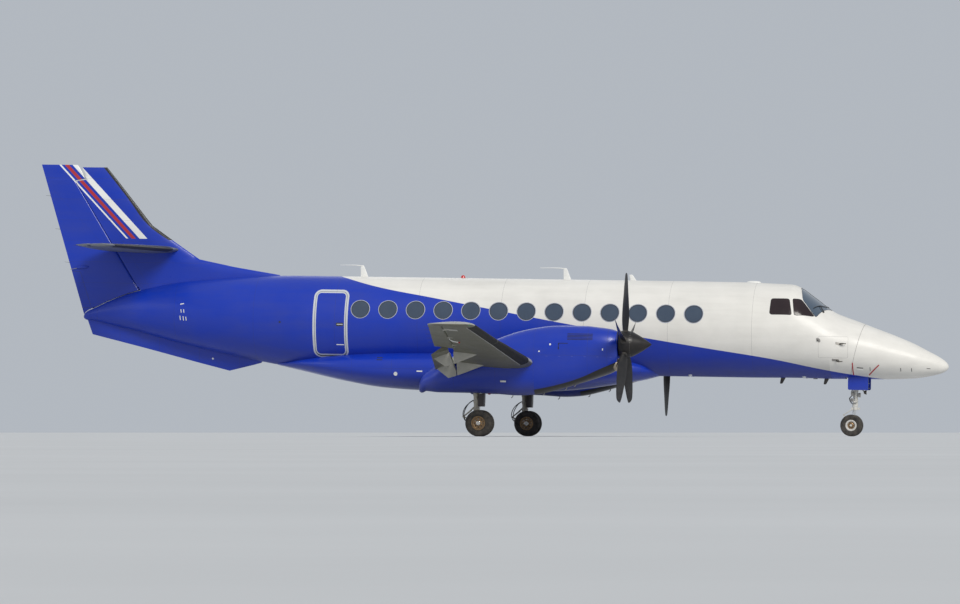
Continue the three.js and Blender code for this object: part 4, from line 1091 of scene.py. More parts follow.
COCKPIT = {
    "windscreen": [(-2.425, angle_of_y(-2.425, 0.025)), (-2.690, angle_at(-2.690, 0.272)), (-2.985, angle_at(-2.985, 0.632)), (-3.075, angle_of_y(-3.075, 0.025))],
    "cockpit_front_window": [(-2.725, angle_at(-2.725, 0.285)), (-3.115, angle_at(-3.115, 0.300)), (-3.180, angle_at(-3.180, 0.643)), (-3.005, angle_at(-3.005, 0.627))],
    "cockpit_rear_window": [(-3.185, angle_at(-3.185, 0.310)), (-3.625, angle_at(-3.625, 0.320)), (-3.615, angle_at(-3.615, 0.640)), (-3.255, angle_at(-3.255, 0.640))],
}


def pane_points(q, uv, side, off):
    """(u, v) in the unit square to the skin, bilinear between the corners"""
    q, u, v = np.asarray(q), uv[..., 0:1], uv[..., 1:2]
    w = (q[0] * (1 - u) + q[1] * u) * (1 - v) + (q[3] * (1 - u) + q[2] * u) * v
    return surface_point(w[..., 0], w[..., 1], side, off)


def pane_size(q):
    c = [surface_point(np.array(x), np.array(t), 1) for x, t in q]
    lu = (np.linalg.norm(c[1] - c[0]) + np.linalg.norm(c[2] - c[3])) / 2
    lv = (np.linalg.norm(c[3] - c[0]) + np.linalg.norm(c[2] - c[1])) / 2
    return lu, lv


def unit_grid(q, grow, r, nx=14, nz=18):
    lu, lv = pane_size(q)
    g = rounded_grid(-grow, lu + grow, -grow, lv + grow, r + grow, nx, nz, 7)
    return g / np.array([lu, lv])


def unit_outline(q, grow, r, n=9, straight=8):
    lu, lv = pane_size(q)
    out = []
    x0, x1, z0, z1, rr = -grow, lu + grow, -grow, lv + grow, r + grow
    corners = [(x1 - rr, z1 - rr, 0), (x0 + rr, z1 - rr, 1), (x0 + rr, z0 + rr, 2), (x1 - rr, z0 + rr, 3)]
    for k, (cx, cz, h) in enumerate(corners):
        for i in range(n):
            a = (h + i / (n - 1)) * math.pi / 2
            out.append([cx + rr * math.cos(a), cz + rr * math.sin(a)])
        nx_, nz_, nh = corners[(k + 1) % 4]
        a = nh * math.pi / 2
        b = [nx_ + rr * math.cos(a), nz_ + rr * math.sin(a)]
        for i in range(1, straight):
            out.append([lerp(out[-1][0], b[0], 1 / (straight - i + 1)), lerp(out[-1][1], b[1], 1 / (straight - i + 1))])
    return np.array(out) / np.array([lu, lv])


PANE_R = 0.045
for name, q in COCKPIT.items():
    for side in (1, -1):
        g = unit_grid(q, 0.012, PANE_R)
        n_, m_ = g.shape[:2]
        add_cut(plate_faces(pane_points(q, g, side, 0.03).reshape(-1, 3), pane_points(q, g, side, -0.018).reshape(-1, 3), n_, m_), 1)
add_cut(BAY, 2)

fuselage = make("fuselage_skin", *hull_part, HULL, "airframe", stands="fuselage", slot="white_and_blue_paint")
radome = make("nose_cone_skin", *loft(hull_rings(xs=S_ALL[S_ALL < 2.3]), start=NOSE_TIP), HULL, "airframe", stands="nose_cone", slot="white_and_blue_paint")
clip(fuselage, NP, -NX)
clip(radome, NP + NX * 0.003, NX)
cv, cf = join_parts(cutters)
cutter = make("cutter", cv, cf, [LINING, SEAL, WELL], mat_of=cut_mats, recalc=False)
bm = bmesh.new()
bm.from_mesh(cutter.data)
bmesh.ops.recalc_face_normals(bm, faces=bm.faces)
bm.to_mesh(cutter.data)
bm.free()
cut(fuselage, cutter)
cut(radome, make("cutter", *BAY, WELL))

# rooms behind the doors
ROOM_G = -0.064


def room_part(xa, xf, y_in, n=40):
    rings = []
    for x in np.linspace(xa, xf, 12):
        zc, hz, hy = body_section(x)
        zc, hz, hy = float(zc), float(hz) + ROOM_G, float(hy) + ROOM_G
        t0 = math.asin((-0.64 - zc) / hz)
        t1 = math.pi - t0 if y_in is None else math.acos(y_in / hy)
        t = np.linspace(t0, t1, n)
        ring = np.stack([np.full(n, x), hy * np.cos(t), zc + hz * np.sin(t)], 1)
        if y_in is not None:
            ring = np.vstack([ring, [[x, y_in, -0.64]]])
        rings.append(ring)
    return loft(rings)


cut(fuselage, make("cutter", *join_parts([room_part(-14.18, -12.44, None), room_part(-4.70, -4.00, 0.25)]), LINING))
SWING = {"passenger_door": (0.722, -0.684, 0.112), "baggage_door": (0.722, 0.694, 0.185), "rear_door": (0.75, 0.654, 0.125)}
parts = []
for name, side, xa, xf, zs, zh, gs, gh in DOORS:
    hy_, hz_, r_ = SWING[name]
    a = np.arange(48) / 48 * 2 * math.pi
    ring = [(side * (hy_ + r_ * math.cos(t)), min(max(hz_ + r_ * math.sin(t), zs + 0.02), zh - 0.02)) for t in a]
    keep = [ring[0]]
    for p in ring[1:]:
        if math.hypot(p[0] - keep[-1][0], p[1] - keep[-1][1]) > 1e-4:
            keep.append(p)
    parts.append(loft([[[x, y, z] for y, z in keep] for x in (xa + 0.035, xf - 0.035)]))
cut(fuselage, make("cutter", *join_parts(parts), LINING))
set_normals(fuselage, hull_field, 1.2e-3)
set_normals(radome, hull_field, 1.2e-3)

# doors
for name, side, xa, xf, zs, zh, gs, gh in DOORS:
    g = rounded_grid(xa, xf, zs, zh, DOOR_R, nx=16, nz=48, arc=9)
    o = make(name + "_panel", *slab_grid(g, side, 0.0, -0.06), HULL, name, stands=name, slot="white_and_blue_paint")
    set_normals(o, hull_field, 1.2e-3)
    paint_faces(o, LINING, lambda c, n_: hull_field(c)[0] < -0.004)

# window frames and panes
frames, seals, panes = [], [], []
for side in (1, -1):
    for xc in WIN_X:
        prof = [(0.190, -0.0095), (0.190, -0.0005), (0.192, 0.0012), (0.200, 0.0014), (0.203, 0.0002), (0.203, -0.0095)]
        rim = [(0.177, -0.0095), (0.177, -0.0045), (0.1795, -0.0025), (0.1895, -0.0015), (0.1895, -0.0095)]
        seals.append(ring_part([[polar(xc, r, 2 * math.pi * k / 72, side, o_) for r, o_ in rim] for k in range(72)]))
        frames.append(ring_part([[polar(xc, r, 2 * math.pi * k / 72, side, o_) for r, o_ in prof] for k in range(72)]))
        panes.append(disc_plate(xc, side, 0.1765, -0.005, -0.0095, rings=3, n=72))
make("cabin_window_frames", *join_parts(frames), FRAME, "airframe", slot="grey_paint")
make("cabin_window_seals", *join_parts(seals), SEAL, "airframe")
make("cabin_window_panes", *join_parts(panes), CABIN_GLASS, "airframe", slot="dark_glass", smooth=20)

for name, q in COCKPIT.items():
    for side, tag in ((1, "left"), (-1, "right")):
        g = unit_grid(q, 0, PANE_R, nx=18, nz=26)
        n_, m_ = g.shape[:2]
        part = plate_faces(pane_points(q, g, side, -0.003).reshape(-1, 3), pane_points(q, g, side, -0.013).reshape(-1, 3), n_, m_)
        make(name + "_pane_" + tag, *part, SCREEN if name == "windscreen" else GLASS, "airframe", stands=name + "_" + tag, slot="dark_glass")
        loops = []
        inner, outer = unit_outline(q, 0.0008, PANE_R), unit_outline(q, 0.0114, PANE_R)
        mid = unit_outline(q, 0.007, PANE_R)
        for k in range(len(inner)):
            pt = lambda uv, off: pane_points(q, np.array(uv), side, off)
            loops.append([pt(inner[k], -0.016), pt(inner[k], -0.0022), pt(mid[k], 0.0012), pt(outer[k], 0.0), pt(outer[k], -0.016)])
        make(name + "_seal_" + tag, *ring_part(loops), SEAL, "airframe", smooth=50)

# ------------------------------------------------------------------ wing
WING = [
    [0.7, -8.01, -10.44, 0.175, 0.02],
    [1.0, -8.02, -10.4, 0.175, 0.02],
    [2.64, -8.095, -10.185, 0.165, 0.02],
    [3.55, -8.14, -10.064, 0.158, 0.02],
    [5.85, -8.27, -9.757, 0.14, 0.018],
    [6.67, -8.33, -9.65, 0.134, 0.016],
    [8.8, -8.4, -9.365, 0.12, 0.014],
    [9.06, -8.45, -9.335, 0.1, 0.012],
    [9.145, -8.56, -9.29, 0.06, 0.008],
]
WA = np.array(WING)


def chord_z(y):
    return -1.21 + 0.1228 * abs(y)


def wing_at(y):
    if y > 8.7:
        return [float(Pchip(WA[:, 0], WA[:, k])(y)) for k in range(1, 5)]
    return [float(np.interp(y, WA[:, 0], WA[:, k])) for k in range(1, 5)]


def naca(u, t):
    u = np.asarray(u, float)
    return 5 * t * (0.2969 * np.sqrt(u) - 0.126 * u - 0.3516 * u**2 + 0.2843 * u**3 - 0.1036 * u**4) + 0.002


def wing_ring(y, n=36):
    le, te, t, c = wing_at(y)
    u = 1 - np.cos(np.linspace(0, math.pi / 2, n))
    L = le - te
    up = [[le - L * a, y, chord_z(y) + L * (c * 4 * a * (1 - a) + b)] for a, b in zip(u, naca(u, t))]
    lo = [[le - L * a, y, chord_z(y) + L * (c * 4 * a * (1 - a) - b)] for a, b in zip(u, naca(u, t))]
    return np.array(up[::-1] + lo[1:])


def flap_gap(y):
    return -9.39 - (5.77 - y) * 0.1245


def aileron_gap(y):
    return lerp(-9.37, -9.11, (y - 5.85) / 3.05)


def pivot(y):
    return np.array([flap_gap(y) - 0.008, y, chord_z(y) - FLAP_PIVOT_DROP])


def aileron_hinge(y):
    return np.array([aileron_gap(y) - 0.04, y, chord_z(y) + 0.012])


SURF = {"flap_inboard": (1.19, 2.6), "flap_outboard": (3.56, 5.79), "aileron": (5.86, 8.92)}
ys = sorted(set([r[0] for r in WING[:-2]] + list(np.arange(0.7, 8.8, 0.3)) + [8.86, 8.92, 8.98, 9.03, 9.07, 9.1, 9.125, 9.138, 9.145]))
wing_part = loft([wing_ring(y) for y in ys])
wing_l = make("wing_panel", *wing_part, WINGP)
for name, (y0, y1) in SURF.items():
    gx = (lambda y: aileron_gap(y) + 0.044) if name == "aileron" else flap_gap
    hinge = aileron_hinge if name == "aileron" else pivot
    quad = [(gx(y0 - 0.2), y0 - 0.2), (gx(y1 + 0.2), y1 + 0.2), (-11.0, y1 + 0.2), (-11.0, y0 - 0.2)]
    c = make("cutter", *loft([[[x, y, z] for x, y in quad] for z in (-2.5, 0.5)]), WELL)
    a, b = hinge(y0), hinge(y1)
    d = (b - a) / np.linalg.norm(b - a)
    clip(c, a - d * 0.008, d)
    clip(c, b + d * 0.008, -d)
    cut(wing_l, c)


def mesh_part(o):
    """vertices (drawing frame) and faces of an object"""
    return back(np.array([v.co[:] for v in o.data.vertices])), [list(p.vertices) for p in o.data.polygons]


wing_mesh = mesh_part(wing_l)
wing_idx = [p.material_index for p in wing_l.data.polygons]
bpy.data.objects.remove(wing_l)


def section_half(y, x):
    le, te, t, c = wing_at(y)
    L = le - te
    u = (le - x) / L
    return L * naca(u, t), chord_z(y) + L * c * 4 * u * (1 - u)


def surface_ring(y, front, cut_=0.012, n=12):
    le, te, t, c = wing_at(y)
    r = float(section_half(y, front)[0]) * 0.9
    cx = front - r - cut_
    xs = np.linspace(te, lerp(te, front, 0.72), n)
    up = [[x, y, sum(reversed(section_half(y, x)))] for x in xs]
    lo = [[x, y, section_half(y, x)[1] - section_half(y, x)[0]] for x in xs[::-1]]
    zc = float(section_half(y, cx)[1])
    arc = [[cx + r * math.cos(a), y, zc + r * math.sin(a)] for a in np.radians(np.linspace(90, -90, 17))]
    return np.array([[float(q) for q in p] for p in up + arc + lo])


def flap_object(name, y0, y1, front, hinge, turn):
    part = loft([surface_ring(y, front(y)) for y in (y0 - 0.15, lerp(y0, y1, 0.25), lerp(y0, y1, 0.5), lerp(y0, y1, 0.75), y1 + 0.15)])
    o = make("tmp_" + name, *part, FLAPP)
    a, b = hinge(y0), hinge(y1)
    d = (b - a) / np.linalg.norm(b - a)
    clip(o, a, d)
    clip(o, b, -d)
    v, f = mesh_part(o)
    bpy.data.objects.remove(o)
    if turn:
        v = about(v, a, b, -FLAP_DOWN)
    return v, f


FAIR = [
    ("flap_outboard", 5.2, -8.96, -0.275, (-0.165, -0.11), (-0.43, 0.07), 0.095),
    ("flap_outboard", 3.69, -9.03, -0.31, (-0.175, -0.145), (-0.44, 0.06), 0.095),
    ("flap_inboard", 1.8, -9.19, -0.32, (-0.175, -0.15), (-0.45, 0.06), 0.095),
]


def fairing_front(y, tip, keel, half, px):
    zc = chord_z(y)
    rings = []
    for k in range(9):
        t = k / 8
        x = lerp(tip, px + 0.008, t)
        h = half * math.sin(min(t * 1.25 + 0.08, 1) * math.pi / 2)
        top, bot = zc - lerp(0.04, 0.02, t), lerp(zc - 0.06, zc + keel, t ** 0.92)
        # rounded keel: a V with a soft bottom
        prof = [(h, top), (h * 0.93, lerp(top, bot, 0.35)), (h * 0.62, lerp(top, bot, 0.72)), (h * 0.28, lerp(top, bot, 0.94)), (0.0, bot)]
        prof = prof + [(-a, b) for a, b in prof[::-1][1:]]
        rings.append([[x, y + a, b] for a, b in prof])
    return loft(rings)


def fairing_rear(y, px, pz, keel, low, aft, half):
    zc = chord_z(y)
    lean = math.tan(math.radians(FLAP_DOWN))
    top = pz + 0.175
    A = [(px - 0.012 - 0.175 * lean, half, top), (px - 0.012, 0.05, pz), (px - 0.012, 0.012, zc + keel - 0.004)]
    B = [(px + low[0] - 0.06, half, top - 0.045), (px + low[0], 0.055, pz), (px + low[0], 0.012, pz + low[1])]
    Cc = [(px + aft[0] + 0.025, 0.02, pz + aft[1] + 0.012), (px + aft[0], 0.012, pz + aft[1] + 0.004), (px + aft[0], 0.006, pz + aft[1] - 0.006)]

    def ring(q):
        p = [np.array([q[0][0], q[0][1], q[0][2]]), np.array([q[1][0], q[1][1], q[1][2]]), np.array([q[2][0], q[2][1], q[2][2]])]
        mid1, mid2 = (p[0] + p[1]) / 2 + [0, 0.012 if q is not Cc else 0, 0], (p[1] + p[2]) / 2 + [0, 0.008 if q is not Cc else 0, 0]
        side = [p[0], mid1, p[1], mid2, p[2]]
        return np.array(side + [s * [1, -1, 1] for s in side[::-1]]) + [0, y, 0]

    a, b, c = ring(A), ring(B), ring(Cc)
    rings = [a * (1 - t) + b * t for t in (0, 0.5)] + [b]
    rings += [b * (1 - t) + c * t for t in (0.35, 0.7, 0.92)] + [c]
    return loft(rings)


fronts, rears = [], {"flap_outboard": [], "flap_inboard": []}
for flap, y, tip, keel, low, aft, half in FAIR:
    px, _, pz = pivot(y)
    fronts.append(fairing_front(y, tip, keel, half, px))
    rears[flap].append(fairing_rear(y, px, pz, keel, low, aft, half))

for side, tag, flip in ((1, "left", lambda p: p), (-1, "right", flip_y)):
    o = make("wing_skin_" + tag, *flip(wing_mesh), [WINGP, WELL], "airframe", stands="wing_" + tag, slot="grey_paint", mat_of=wing_idx, recalc=True, smooth=40)
    make("flap_fairings_front_" + tag, *flip(join_parts(fronts)), FAIRP, "airframe", smooth=40, slot="grey_paint")
    for name, (y0, y1) in SURF.items():
        if name == "aileron":
            part = flap_object(name, y0, y1, lambda y: aileron_gap(y) + 0.03, aileron_hinge, False)
        else:
            part = flap_object(name, y0, y1, flap_gap, pivot, True)
        make(name + "_skin_" + tag, *flip(part), FLAPP, name + "_" + tag, stands=name + "_" + tag, slot="grey_paint", smooth=40)
        if name in rears:
            make(name + "_fairings_" + tag, *flip(join_parts(rears[name])), FAIRP, name + "_" + tag, smooth=40, slot="grey_paint")

# ------------------------------------------------------------------ belly fairing
BELLY = [
    [-6.0, -0.8, -0.985, 0.3, 2],
    [-6.35, -0.64, -1.08, 0.7, 2.1],
    [-6.9, -0.56, -1.175, 0.96, 2.3],
    [-7.5, -0.53, -1.27, 1.08, 2.4],
    [-8.1, -0.52, -1.335, 1.13, 2.5],
    [-9.5, -0.52, -1.375, 1.15, 2.6],
    [-10.9, -0.52, -1.37, 1.13, 2.5],
    [-11.8, -0.53, -1.325, 1.08, 2.4],
    [-12.65, -0.59, -1.195, 0.96, 2.3],
    [-13.5, -0.69, -1.015, 0.66, 2.1],
    [-14.05, -0.82, -0.9, 0.26, 2],
]
xs = np.concatenate([np.arange(-14.05, -12.6, 0.08), np.arange(-12.6, -6.95, 0.25), np.arange(-6.95, -5.999, 0.07), [-6.0]])
rows = sampled(BELLY, xs)[::-1]
belly = make(
    "belly_fairing_skin",
    *loft([oval(x, (t + b) / 2, (t - b) / 2, h, p, n=96) for x, t, b, h, p in rows], start=[-5.95, 0, -0.94], end=[-14.15, 0, -0.87]),
    BLUEP, "airframe", stands="belly_fairing", slot="blue_paint", smooth=50,
)
xs = S_ALL[(S_ALL > 5.2) & (S_ALL < 15.2)]
cut(belly, make("cutter", *loft(hull_rings(0.0006, xs=xs)), SEAL))
shade(belly, 40)

# ------------------------------------------------------------------ nacelles
COWL_X = -8.12
NACELLE = [
    [-6.45, -0.11, -0.90, 0.300, 2.3],
    [-6.56, -0.075, -0.96, 0.345, 2.4],
    [-6.8, -0.04, -1.05, 0.385, 2.5],
    [-7.15, -0.01, -1.165, 0.41, 2.6],
    [-7.7, -0.015, -1.33, 0.425, 2.6],
    [-8.12, -0.065, -1.425, 0.43, 2.6],
    [-8.5, -0.15, -1.45, 0.43, 2.6],
    [-9.0, -0.33, -1.425, 0.425, 2.6],
    [-9.6, -0.56, -1.415, 0.4, 2.5],
    [-10.1, -0.8, -1.415, 0.33, 2.3],
    [-10.4, -1.01, -1.39, 0.2, 2.1],
]


def nac_rings(xs, n=88):
    return [oval(x, (t + b) / 2, (t - b) / 2, h, p, NAC_Y, n) for x, t, b, h, p in sampled(NACELLE, xs)]


xs_front = np.concatenate([[-6.45, -6.465, -6.48, -6.5, -6.525, -6.55, -6.58], np.arange(-6.62, -8.1, -0.07), [COWL_X]])
front_rings = nac_rings(xs_front)
# rounded front edge
first = oval(-6.452, -0.505, 0.395, 0.30, 2.3, NAC_Y, 88)
centre = np.array([-6.45, NAC_Y, -0.505])
lip = []
for ang in (90, 65, 40, 15):
    a = math.radians(ang)
    r = front_rings[0] * 1.0
    k = 1 - 0.028 * math.sin(a) / 0.3
    q = centre + (r - centre) * [1, k, 1 - 0.028 * math.sin(a) / 0.395]
    q[:, 0] = -6.45 + 0.018 * math.sin(a) - 0.0
    lip.append(q)
cowl_rings = lip + front_rings[1:]


def inner_cowl(x):
    t, b, h, p = sampled(NACELLE, [x])[0][1:]
    return oval(x, (t + b) / 2, (t - b) / 2 - 0.035, h - 0.035, p, NAC_Y, 88)


cowl_obj = make("tmp_cowl", *loft(cowl_rings), COWLP)
# the cowl's inside and, below, the intake duct take the near-black: painted shade
hollow = make("cutter", *loft([inner_cowl(x) for x in np.linspace(-6.8, -8.11, 14)] + [inner_cowl(-8.11) - [0.06, 0, 0]]), SHADE_BLACK)
cut(cowl_obj, hollow)
INTAKE_Z, INTAKE_HY, INTAKE_HZ = -0.79, 0.215, 0.095


def intake_ring(x, dz=0.0, g=0.0):
    return oval(x, INTAKE_Z + dz, INTAKE_HZ + g, INTAKE_HY + g, 2.4, NAC_Y, 64)


cut(cowl_obj, make("cutter", *loft([intake_ring(-6.38, 0, 0.004), intake_ring(-6.5, -0.008, 0.004), intake_ring(-6.84, -0.06, -0.03)]), SHADE_BLACK))
cowl_mesh = mesh_part(cowl_obj)
cowl_idx = [p.material_index for p in cowl_obj.data.polygons]
bpy.data.objects.remove(cowl_obj)

lip_loops = []
base = [(0.0035, -6.52), (0.0035, -6.45), (0.006, -6.428), (0.014, -6.416), (0.025, -6.420), (0.034, -6.438), (0.037, -6.458), (0.033, -6.475), (0.0045, -6.53)]
for k in range(64):
    loop = []
    for g, x in base:
        r = intake_ring(x, (x + 6.45) * 0.1 if x < -6.45 else 0.0, g)
        loop.append(r[k])
    lip_loops.append(loop)
lip_part = ring_part(lip_loops)

xs_rear = np.concatenate([[COWL_X - 0.0005, -8.2], np.arange(-8.3, -10.0, -0.08), np.arange(-10.02, -10.39, -0.035), [-10.4]])
rear_rings = nac_rings(xs_rear)
tail_pt = [-10.545, NAC_Y, -1.33]
last = rear_rings[-1]
cap = []
for t in (0.35, 0.65, 0.87):
    k = math.sqrt(1 - t * t)
    c = last.mean(0) * (1 - t) + np.array(tail_pt) * t
    cap.append(c + (last - last.mean(0)) * k)
    cap[-1][:, 0] = lerp(-10.4, -10.545, t)
rear_obj = make("tmp_rear", *loft(rear_rings + cap, end=tail_pt), BLUEP)
# the main wheel well takes the near-black: painted shade
cut(rear_obj, make("cutter", *box_part(MAIN_X - 0.19, MAIN_X + 0.06, NAC_Y - 0.095, NAC_Y + 0.095, -1.7, -1.24), SHADE_BLACK))
rear_mesh = mesh_part(rear_obj)
rear_idx = [p.material_index for p in rear_obj.data.polygons]
bpy.data.objects.remove(rear_obj)
for tag, flip in (("left", lambda p: p), ("right", flip_y)):
    make("engine_cowl_skin_" + tag, *flip(cowl_mesh), [COWLP, SHADE_BLACK], "airframe", stands="engine_cowl_" + tag, mat_of=cowl_idx, slot="blue_paint", smooth=40)
    make("intake_lip_" + tag, *flip(lip_part), LIP, "airframe", smooth=60, slot="engine_metal")
    make("nacelle_skin_" + tag, *flip(rear_mesh), [BLUEP, SHADE_BLACK], "airframe", stands="nacelle_" + tag, mat_of=rear_idx, slot="blue_paint", smooth=40)
    # engine inside the cowl
    eng = [
        turned([(0, 0), (0.16, 0.0), (0.17, 0.03), (0.17, 0.26), (0.21, 0.3), (0.235, 0.36), (0.235, 0.62), (0.2, 0.66), (0.2, 0.9), (0.225, 0.94), (0.225, 1.08), (0.18, 1.12), (0, 1.12)], [-6.965, NAC_Y, -0.49], [-8.08, NAC_Y, -0.49], 48),
        box_part(-7.9, -7.1, NAC_Y - 0.11, NAC_Y + 0.11, -0.75, -0.6),
    ]
    make("engine_core_" + tag, *flip(join_parts(eng)), STEEL, "airframe", stands="engine_" + tag, slot="engine_metal")

# ------------------------------------------------------------------ tail
HX = lambda z: lerp(-17.133, -18.566, (z - 0.636) / 2.315)
RTE = lambda z: lerp(-18.285, -19.27, (z - 0.082) / 3.188)
FIN = [
    [0.5, -13.7, 0.092],
    [0.7, -13.9, 0.092],
    [1.0, -14.1, 0.09],
    [1.15, -15.05, 0.086],
    [1.305, -15.83, 0.082],
    [1.64, -16.33, 0.076],
    [2.007, -16.86, 0.07],
    [2.6, -17.34, 0.058],
    [3.0, -17.668, 0.048],
    [3.215, -17.85, 0.042],
]
WFIN = Pchip([0, 0.2, 0.4, 0.648, 1], [0.03, 0.40, 0.74, 1.0, 0.86])
WTAIL = Pchip([0, 0.2236, 0.4472, 0.7071, 1], [0.03, 0.45, 0.82, 1.0, 0.80])


def fin_ring(z, le, half, n=26):
    te = HX(z) + 0.06
    q = np.linspace(0, 1, n)
    u = q**2 * 0.75 + q * 0.25 * q
    w = WFIN(np.sqrt(u)) * half
    a = np.stack([le - (le - te) * u, w, np.full(n, z)], 1)
    b = a[::-1] * [1, -1, 1]
    return np.vstack([a, b])


zs_ = sorted(set([0.5, 0.7, 0.85, 1.0, 1.03, 1.06, 1.09, 1.12, 1.15, 1.19, 1.23, 1.27, 1.305, 1.36, 1.42, 1.5, 1.57, 1.64] + list(np.arange(1.7, 3.1, 0.1)) + [3.1, 3.16, 3.195, 3.208, 3.215]))
fr = sampled(FIN, zs_, "linear")
fin_rows = [[z, le, h * (1 if z < 3.19 else (0.8 if z < 3.21 else 0.45))] for z, le, h in fr]
fin = make("fin_skin", *loft([fin_ring(*r) for r in fin_rows]), FINP, "airframe", stands="fin", slot="blue_paint", smooth=40)
HORN_Z = 2.985
horn_cut = [(-18.458, 3.4), (-18.292, HORN_Z - 0.036), (-18.64, HORN_Z - 0.084), (-19.6, HORN_Z - 0.084), (-19.6, 3.4)]
cut(fin, make("cutter", *prism(horn_cut, -0.3, 0.3), FINP))


def rudder_ring(z, nose, te, half):
    r = half * 0.95
    arc = [[nose + r * math.cos(a), r * math.sin(a), z] for a in np.radians(np.linspace(90, -90, 17))]
    us = np.linspace(0, 0.9, 8)
    up = [[lerp(te, nose, u), lerp(0.004, half * 0.95, math.sin(u * math.pi / 2) ** 1.05), z] for u in us]
    return np.array(up + arc + [[x, -y, z] for x, y, z in up[::-1]])


half_at = lambda z: float(np.interp(z, [r[0] for r in FIN], [r[2] for r in FIN])) * 0.86
rz = [0.09] + list(np.arange(0.3, 2.9, 0.2)) + [HORN_Z - 0.05]
rudder = make("rudder_skin", *loft([rudder_ring(z, HX(z) - 0.022, RTE(z), min(half_at(max(z, 0.7)), 0.07)) for z in rz]), FINP, "rudder", stands="rudder", slot="blue_paint", smooth=40)
horn = [
    rudder_ring(HORN_Z - 0.052, -18.576, RTE(HORN_Z - 0.052), 0.044),
    rudder_ring(HORN_Z - 0.01, -18.345, RTE(HORN_Z - 0.01), 0.034),
    rudder_ring(3.12, -18.418, RTE(3.12), 0.032),
    rudder_ring(3.247, -18.5, RTE(3.247), 0.028),
    rudder_ring(3.257, -18.51, RTE(3.257), 0.022),
    rudder_ring(3.262, -18.52, RTE(3.262) + 0.01, 0.012),
]
cut(rudder, make("cutter", *loft(horn), FINP), op="UNION")
base_cut = [(-16.0, 1.2), (-17.033, 0.616), (-18.126, 0.247), (-18.295, 0.094), (-19.0, -0.4), (-16.0, -0.4)]
cut(rudder, make("cutter", *prism(base_cut, -0.5, 0.5), FINP))
cut(rudder, make("cutter", *loft(hull_rings(0.014, xs=S_ALL[S_ALL > 16.5]), end=[-18.32, 0, 0.067]), FINP))
shade(rudder, 40)
# dark strips that close the gaps round the rudder: painted shade in the gaps
zz = np.linspace(0.75, HORN_Z - 0.1, 12)
nose_of = lambda z: HX(z) - 0.022 + min(half_at(max(z, 0.7)), 0.07) * 0.95 + 0.008
gap = [[HX(z) + 0.0603, z] for z in zz] + [[nose_of(z), z] for z in zz[::-1]]
make("rudder_gap_shade", *prism(gap, -0.02, 0.02), SEAL, "airframe", smooth=None)
# the fin's skin runs a little way over the rudder's rounded nose
lips = []
for side in (1, -1):
    rings = []
    for z in np.linspace(0.70, HORN_Z - 0.09, 24):
        r_ = min(half_at(max(z, 0.7)), 0.07) * 0.95
        aft_ = HX(z) + 0.0232 + (r_ - 0.0433) * 0.55
        rings.append([[HX(z) + 0.0615, side * 0.93 * r_, z], [HX(z) + 0.0615, side * 1.046 * r_, z], [aft_, side * 1.036 * r_, z], [aft_, side * 0.93 * r_, z]])
    lips.append(loft(rings))
make("fin_shroud", *join_parts(lips), FINP, "airframe", smooth=None)
# dark strip under the rudder's foot: painted shade in the gap
low = [[x, float(body_section(x)[0] + body_section(x)[1]) + g] for g, xs_ in ((0.007, np.linspace(-17.10, -18.12, 14)), (0.04, np.linspace(-18.12, -17.10, 14))) for x in xs_]
make("rudder_foot_shade", *prism(low, -0.007, 0.007), SEAL, "rudder", smooth=None)

# fairing and rod of the trim tab, starboard side
ty = -0.030
pod = [(0.0, 0.0), (0.012, 0.004), (0.024, 0.03), (0.033, 0.09), (0.034, 0.13), (0.028, 0.20), (0.014, 0.27), (0.0, 0.30)]
pod_v, pod_f = turned(pod, [-18.20, ty, 1.115], [-19.0, ty + 0.012, 1.04], 28)
rod_v = tube([[-18.46, -0.047, 1.08], [-18.60, -0.030, 1.055]], 0.006, 10)
make("rudder_tab_fairing", pod_v, pod_f, BLUEP, "rudder", smooth=50)
make("rudder_tab_rod", *rod_v, STEEL, "rudder", smooth=50)

VR = []
vent = [
    [(-14.4, -0.74, 0.034), (-14.46, -0.85, 0.03)],
    [(-14.6, -0.74, 0.036), (-14.64, -0.9, 0.02)],
    [(-15.1, -0.66, 0.036), (-15.14, -1.027, 0.014)],
    [(-15.7, -0.55, 0.036), (-15.75, -0.88, 0.013)],
    [(-16.9, -0.28, 0.034), (-16.95, -0.58, 0.013)],
    [(-18.05, 0.0, 0.02), (-18.1, -0.306, 0.012)],
    [(-18.14, 0.02, 0.012), (-18.215, 0.0, 0.012)],
]
for (xt, zt, ht), (xb, zb, hb) in vent:
    prof = [(xt, zt, ht), (lerp(xt, xb, 0.5), lerp(zt, zb, 0.5), lerp(ht, hb, 0.42)), (lerp(xt, xb, 0.94), lerp(zt, zb, 0.94), hb), (xb, zb, hb * 0.35)]
    VR.append([[x, h, z] for x, z, h in prof] + [[x, -h, z] for x, z, h in prof[::-1]])
make("ventral_fin_caps", *turned([(0, 0), (0.021, 0), (0.021, 0.062), (0, 0.062)], [-15.50, 0.031, -0.78], [-15.50, -1.0, -0.78], 28), AERIAL, "airframe", smooth=40)
ventral = make("ventral_fin_skin", *loft(VR), BLUEP, "airframe", stands="ventral_fin", slot="blue_paint", smooth=40)

TAIL_Z = 1.5
TP = [
    [0.02, -16.27, -17.45, -18.18, 0.084],
    [0.9, -16.46, -17.455, -18.055, 0.074],
    [3.15, -16.938, -17.46, -17.76, 0.04],
    [3.29, -16.995, -17.46, -17.74, 0.03],
    [3.34, -17.08, -17.46, -17.7, 0.016],
]
tys = sorted(set([0.02, 0.9, 3.15, 3.29, 3.34, 3.2, 3.24, 3.31, 3.328] + list(np.arange(0.2, 3.1, 0.35))))


def tail_row(y):
    return [y] + [float((Pchip if y > 3.15 else lambda a, b: (lambda t: np.interp(t, a, b)))([r[0] for r in TP], [r[k] for r in TP])(y)) for k in range(1, 5)]


